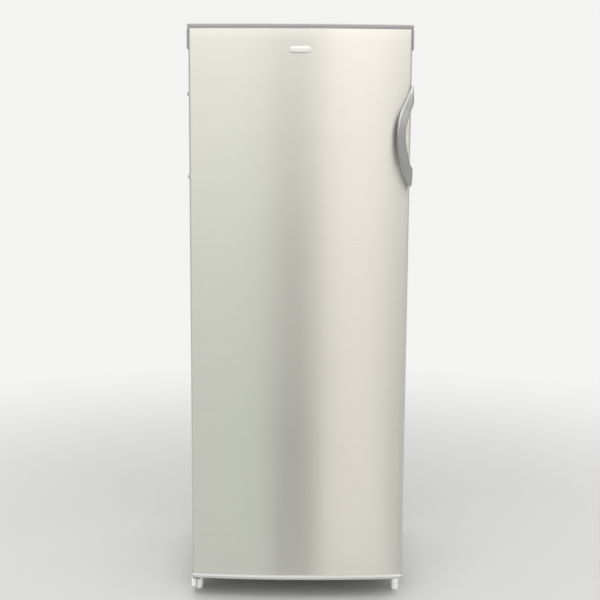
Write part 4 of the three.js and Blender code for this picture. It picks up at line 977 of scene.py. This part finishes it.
copper = bare_metal("copper_tube", (0.62, 0.29, 0.17), (0.86, 0.47, 0.31), 0.30, blotch=60.0)
behind = 303.15  # the plane of the condenser's tube
discharge = [
    (-17.3, 189.85, 120.1), (-62, 189.85, 120.1), (-62, behind, 120.1), (-224, behind, 120.1),
    (-224, behind, 340.7),
]
fitted(tube("discharge_tube", bent(discharge, 14), 3.0), "cabinet", "copper", copper, "discharge_line")
suction = [(15, 150.25, 214.1), (15, 150.25, 265), (-65, 150.25, 265), (-65, 150.25, 288.4)]
fitted(tube("suction_tube", bent(suction, 11), 4.0), "cabinet", "copper", copper, "suction_line")
drier_length, drier_place = 90, (200, behind, 250.7)
spun_end = [
    (0.3, 0), (3.0, 0), (3.1, 3.2), (4.4, 6.4), (7.2, 9.6), (8.6, 11.4), (9, 13.4), (9, 15),
    (8.6, 16.2), (9, 17.4),
]
other_end = np.array(spun_end)[::-1] * (1, -1) + (0, drier_length)
drier = turned_piece("drier", np.concatenate([spun_end, other_end]), drier_place, "z")
fitted(drier, "cabinet", "copper", copper, "filter_drier")
levels = 1331 - 93 * np.arange(11)
snake = [(-224, behind, 341), (-224, behind, levels[0]), (200, behind, levels[0])]
for row in range(1, 11):
    edge = 200 if row % 2 else -200
    snake += [(edge, behind, levels[row]), (-edge, behind, levels[row])]
snake.append((200, behind, 341))
wire_foot, wire_length = 389.0, 950
grid_pieces = [tube("snake", bent(snake, 12), 2.75)]
for name, depth in (("inner_wires", 299.7), ("outer_wires", 306.6)):
    foot = np.array([(x, depth, wire_foot) for x in np.linspace(-186, 186, 53)])
    grid_pieces.append(wires(name, foot, foot + (0, 0, wire_length), 0.75))
condenser = joined("condenser_grid", *grid_pieces)
fitted(condenser, "cabinet", "black_paint", black_enamel, "condenser")


# Each evaporator shelf is one length of tube bent into a flat snake, with thin wires welded under
# it. The whole shelf is dipped in a pale coating.
tube_enamel = painted("tube_enamel", (0.72, 0.72, 0.71), 0.3)
run_end, bend_edge, front_run, pitch, last_run = 215.4, 203, -158.15, 60, 6
for number in range(1, 5):
    low, high = np.array(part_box(f"evaporator_shelf_{number}")) / MM
    level = (low[2] + high[2]) / 2
    runs = []
    for row in range(last_run + 1):
        edge = -bend_edge if row % 2 == 0 else bend_edge
        y = front_run + pitch * row
        runs += [(edge if row else -run_end, y, level), (-edge if row < last_run else run_end, y, level)]
    snake = tube("shelf_snake", bent(runs, 30, steps=14), 4.0)
    front = np.array([(x, -161.0, level - 4.9) for x in np.linspace(-192, 192, 33)])
    shelf = joined(f"freezing_shelf_{number}", snake, wires("rails", front, front + (0, 365, 0), 1.0))
    fitted(shelf, "cabinet", "coated_tube", tube_enamel, f"evaporator_shelf_{number}")


# The inside of the cabinet and of the door is vacuum-formed white plastic with softly rounded
# corners. Foam fills the space behind both, and the thermostat hangs in a moulded housing.
dark, light = (0.81, 0.81, 0.80), (0.83, 0.83, 0.82)
liner_plastic = moulded("liner_plastic", dark, light, 0.3, grain=260.0, coat=0.2, speckle=0.03)
foam = moulded("foam", (0.62, 0.52, 0.28), (0.70, 0.60, 0.34), 0.9, grain=240.0, speckle=0.7)
dressed(0.7, "liner_white", liner_plastic, "inner_liner", "door_liner")
dressed(1.2, "white_plastic", white_plastic, "thermostat_housing")
for node in ("cabinet_foam", "door_foam"):
    frame["nodes"][node].data.materials.clear()
    frame["nodes"][node].data.materials.append(foam)


# The thermostat's knob is a ribbed white button with a dark pointer set into its face.
knob_low, knob_high = np.array(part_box("thermostat_knob"))
knob_x, knob_z = (knob_low[0] + knob_high[0]) / 2, (knob_low[2] + knob_high[2]) / 2
knob_profile = [
    (0.3, 0), (8.4, 0), (9.7, 0.4), (10.5, 1.2), (11, 2.6), (11, 9.2), (10.6, 10.9), (3, 10.9),
    (3, 21.3), (0.3, 21.3),
]
radius, depth = np.hsplit(np.array(knob_profile) * MM, 2)
turn = np.linspace(0, 2 * np.pi, 120, endpoint=False)
rib_count, rib_share, ribbed_from = 24, 0.045, 9 * MM
ribs = 1 - rib_share * (0.5 + 0.5 * np.cos(rib_count * turn)) * (radius > ribbed_from)
knob_grid = np.empty((len(knob_profile), len(turn), 3))
knob_grid[..., 0] = knob_x + radius * ribs * np.sin(turn)
knob_grid[..., 1] = knob_low[1] + depth
knob_grid[..., 2] = knob_z + radius * ribs * np.cos(turn)
knob = laid_sheet("knob_ribbed", knob_grid, around=True, ends=True, smooth=32)
fitted(knob, "knob", "white_plastic", white_plastic, "thermostat_knob")
mark = rounded(oblong((-0.8, 1.0), (0.8, 7.6)), 0.5) * MM
mark_grid = np.empty((3, len(mark), 3))
mark_grid[..., 0] = knob_x + mark[:, 0] * np.array([[1.0], [1.0], [0.8]])
mark_grid[..., 1] = knob_low[1] + np.array([[0.4], [-0.3], [-0.5]]) * MM
mark_grid[..., 2] = knob_z + mark[:, 1]
pointer = laid_sheet("knob_pointer", mark_grid, around=True, ends=True)
fitted(pointer, "knob", "black_plastic", black_plastic)


# The drawers and the flap of the top compartment are moulded in frosted clear plastic with a cool
# tint, thin enough for the shelves to show through.
dark, light, clear = (0.66, 0.73, 0.77), (0.72, 0.78, 0.82), {"Transmission Weight": 0.4}
frosted = moulded("drawer_plastic", dark, light, 0.2, coat=0.3, speckle=0.03, **clear)
dressed(0.5, "drawer_plastic", frosted, "drawer_1", "drawer_2", "drawer_3", "drawer_4", "freezer_flap")


# The seal is one ring of soft grey rubber, welded at its mitred corners: a flat foot on the door, a
# folded bellows, and a tube that holds the magnet against the cabinet.
dark, light = (0.40, 0.40, 0.39), (0.45, 0.45, 0.44)
seal_rubber = moulded("seal_rubber", dark, light, 0.55, grain=600.0, speckle=0.2)
seal_low, seal_high = np.array(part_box("door_seal"))
seal_section = [
    (0, 0), (16, 0), (16, 2.2), (12.8, 2.8), (11.4, 3.8), (12.6, 4.8), (14.6, 5.6), (15.2, 7.0),
    (14.8, 8.6), (13.6, 9.4), (2.4, 9.4), (1.2, 8.6), (0.8, 7.0), (1.4, 5.6), (3.4, 4.8), (4.6, 3.8),
    (3.2, 2.8), (0, 2.2),
]
seal_middle, seal_half = (seal_low[2] + seal_high[2]) / 2, (seal_high[2] - seal_low[2]) / 2
seal_rings = []
for inset, depth in np.array(seal_section) * MM:
    wide, tall = seal_high[0] - inset, seal_half - inset
    ring = rounded(oblong((-wide, -tall), (wide, tall)), 2.5 * MM, steps=4)
    seal_rings.append([(x, seal_low[1] + depth, seal_middle + z) for x, z in ring])
seal = laid_sheet("seal_bellows", np.array(seal_rings), around=True, looped=True)
fitted(seal, "door", "seal_rubber", seal_rubber, "door_seal")
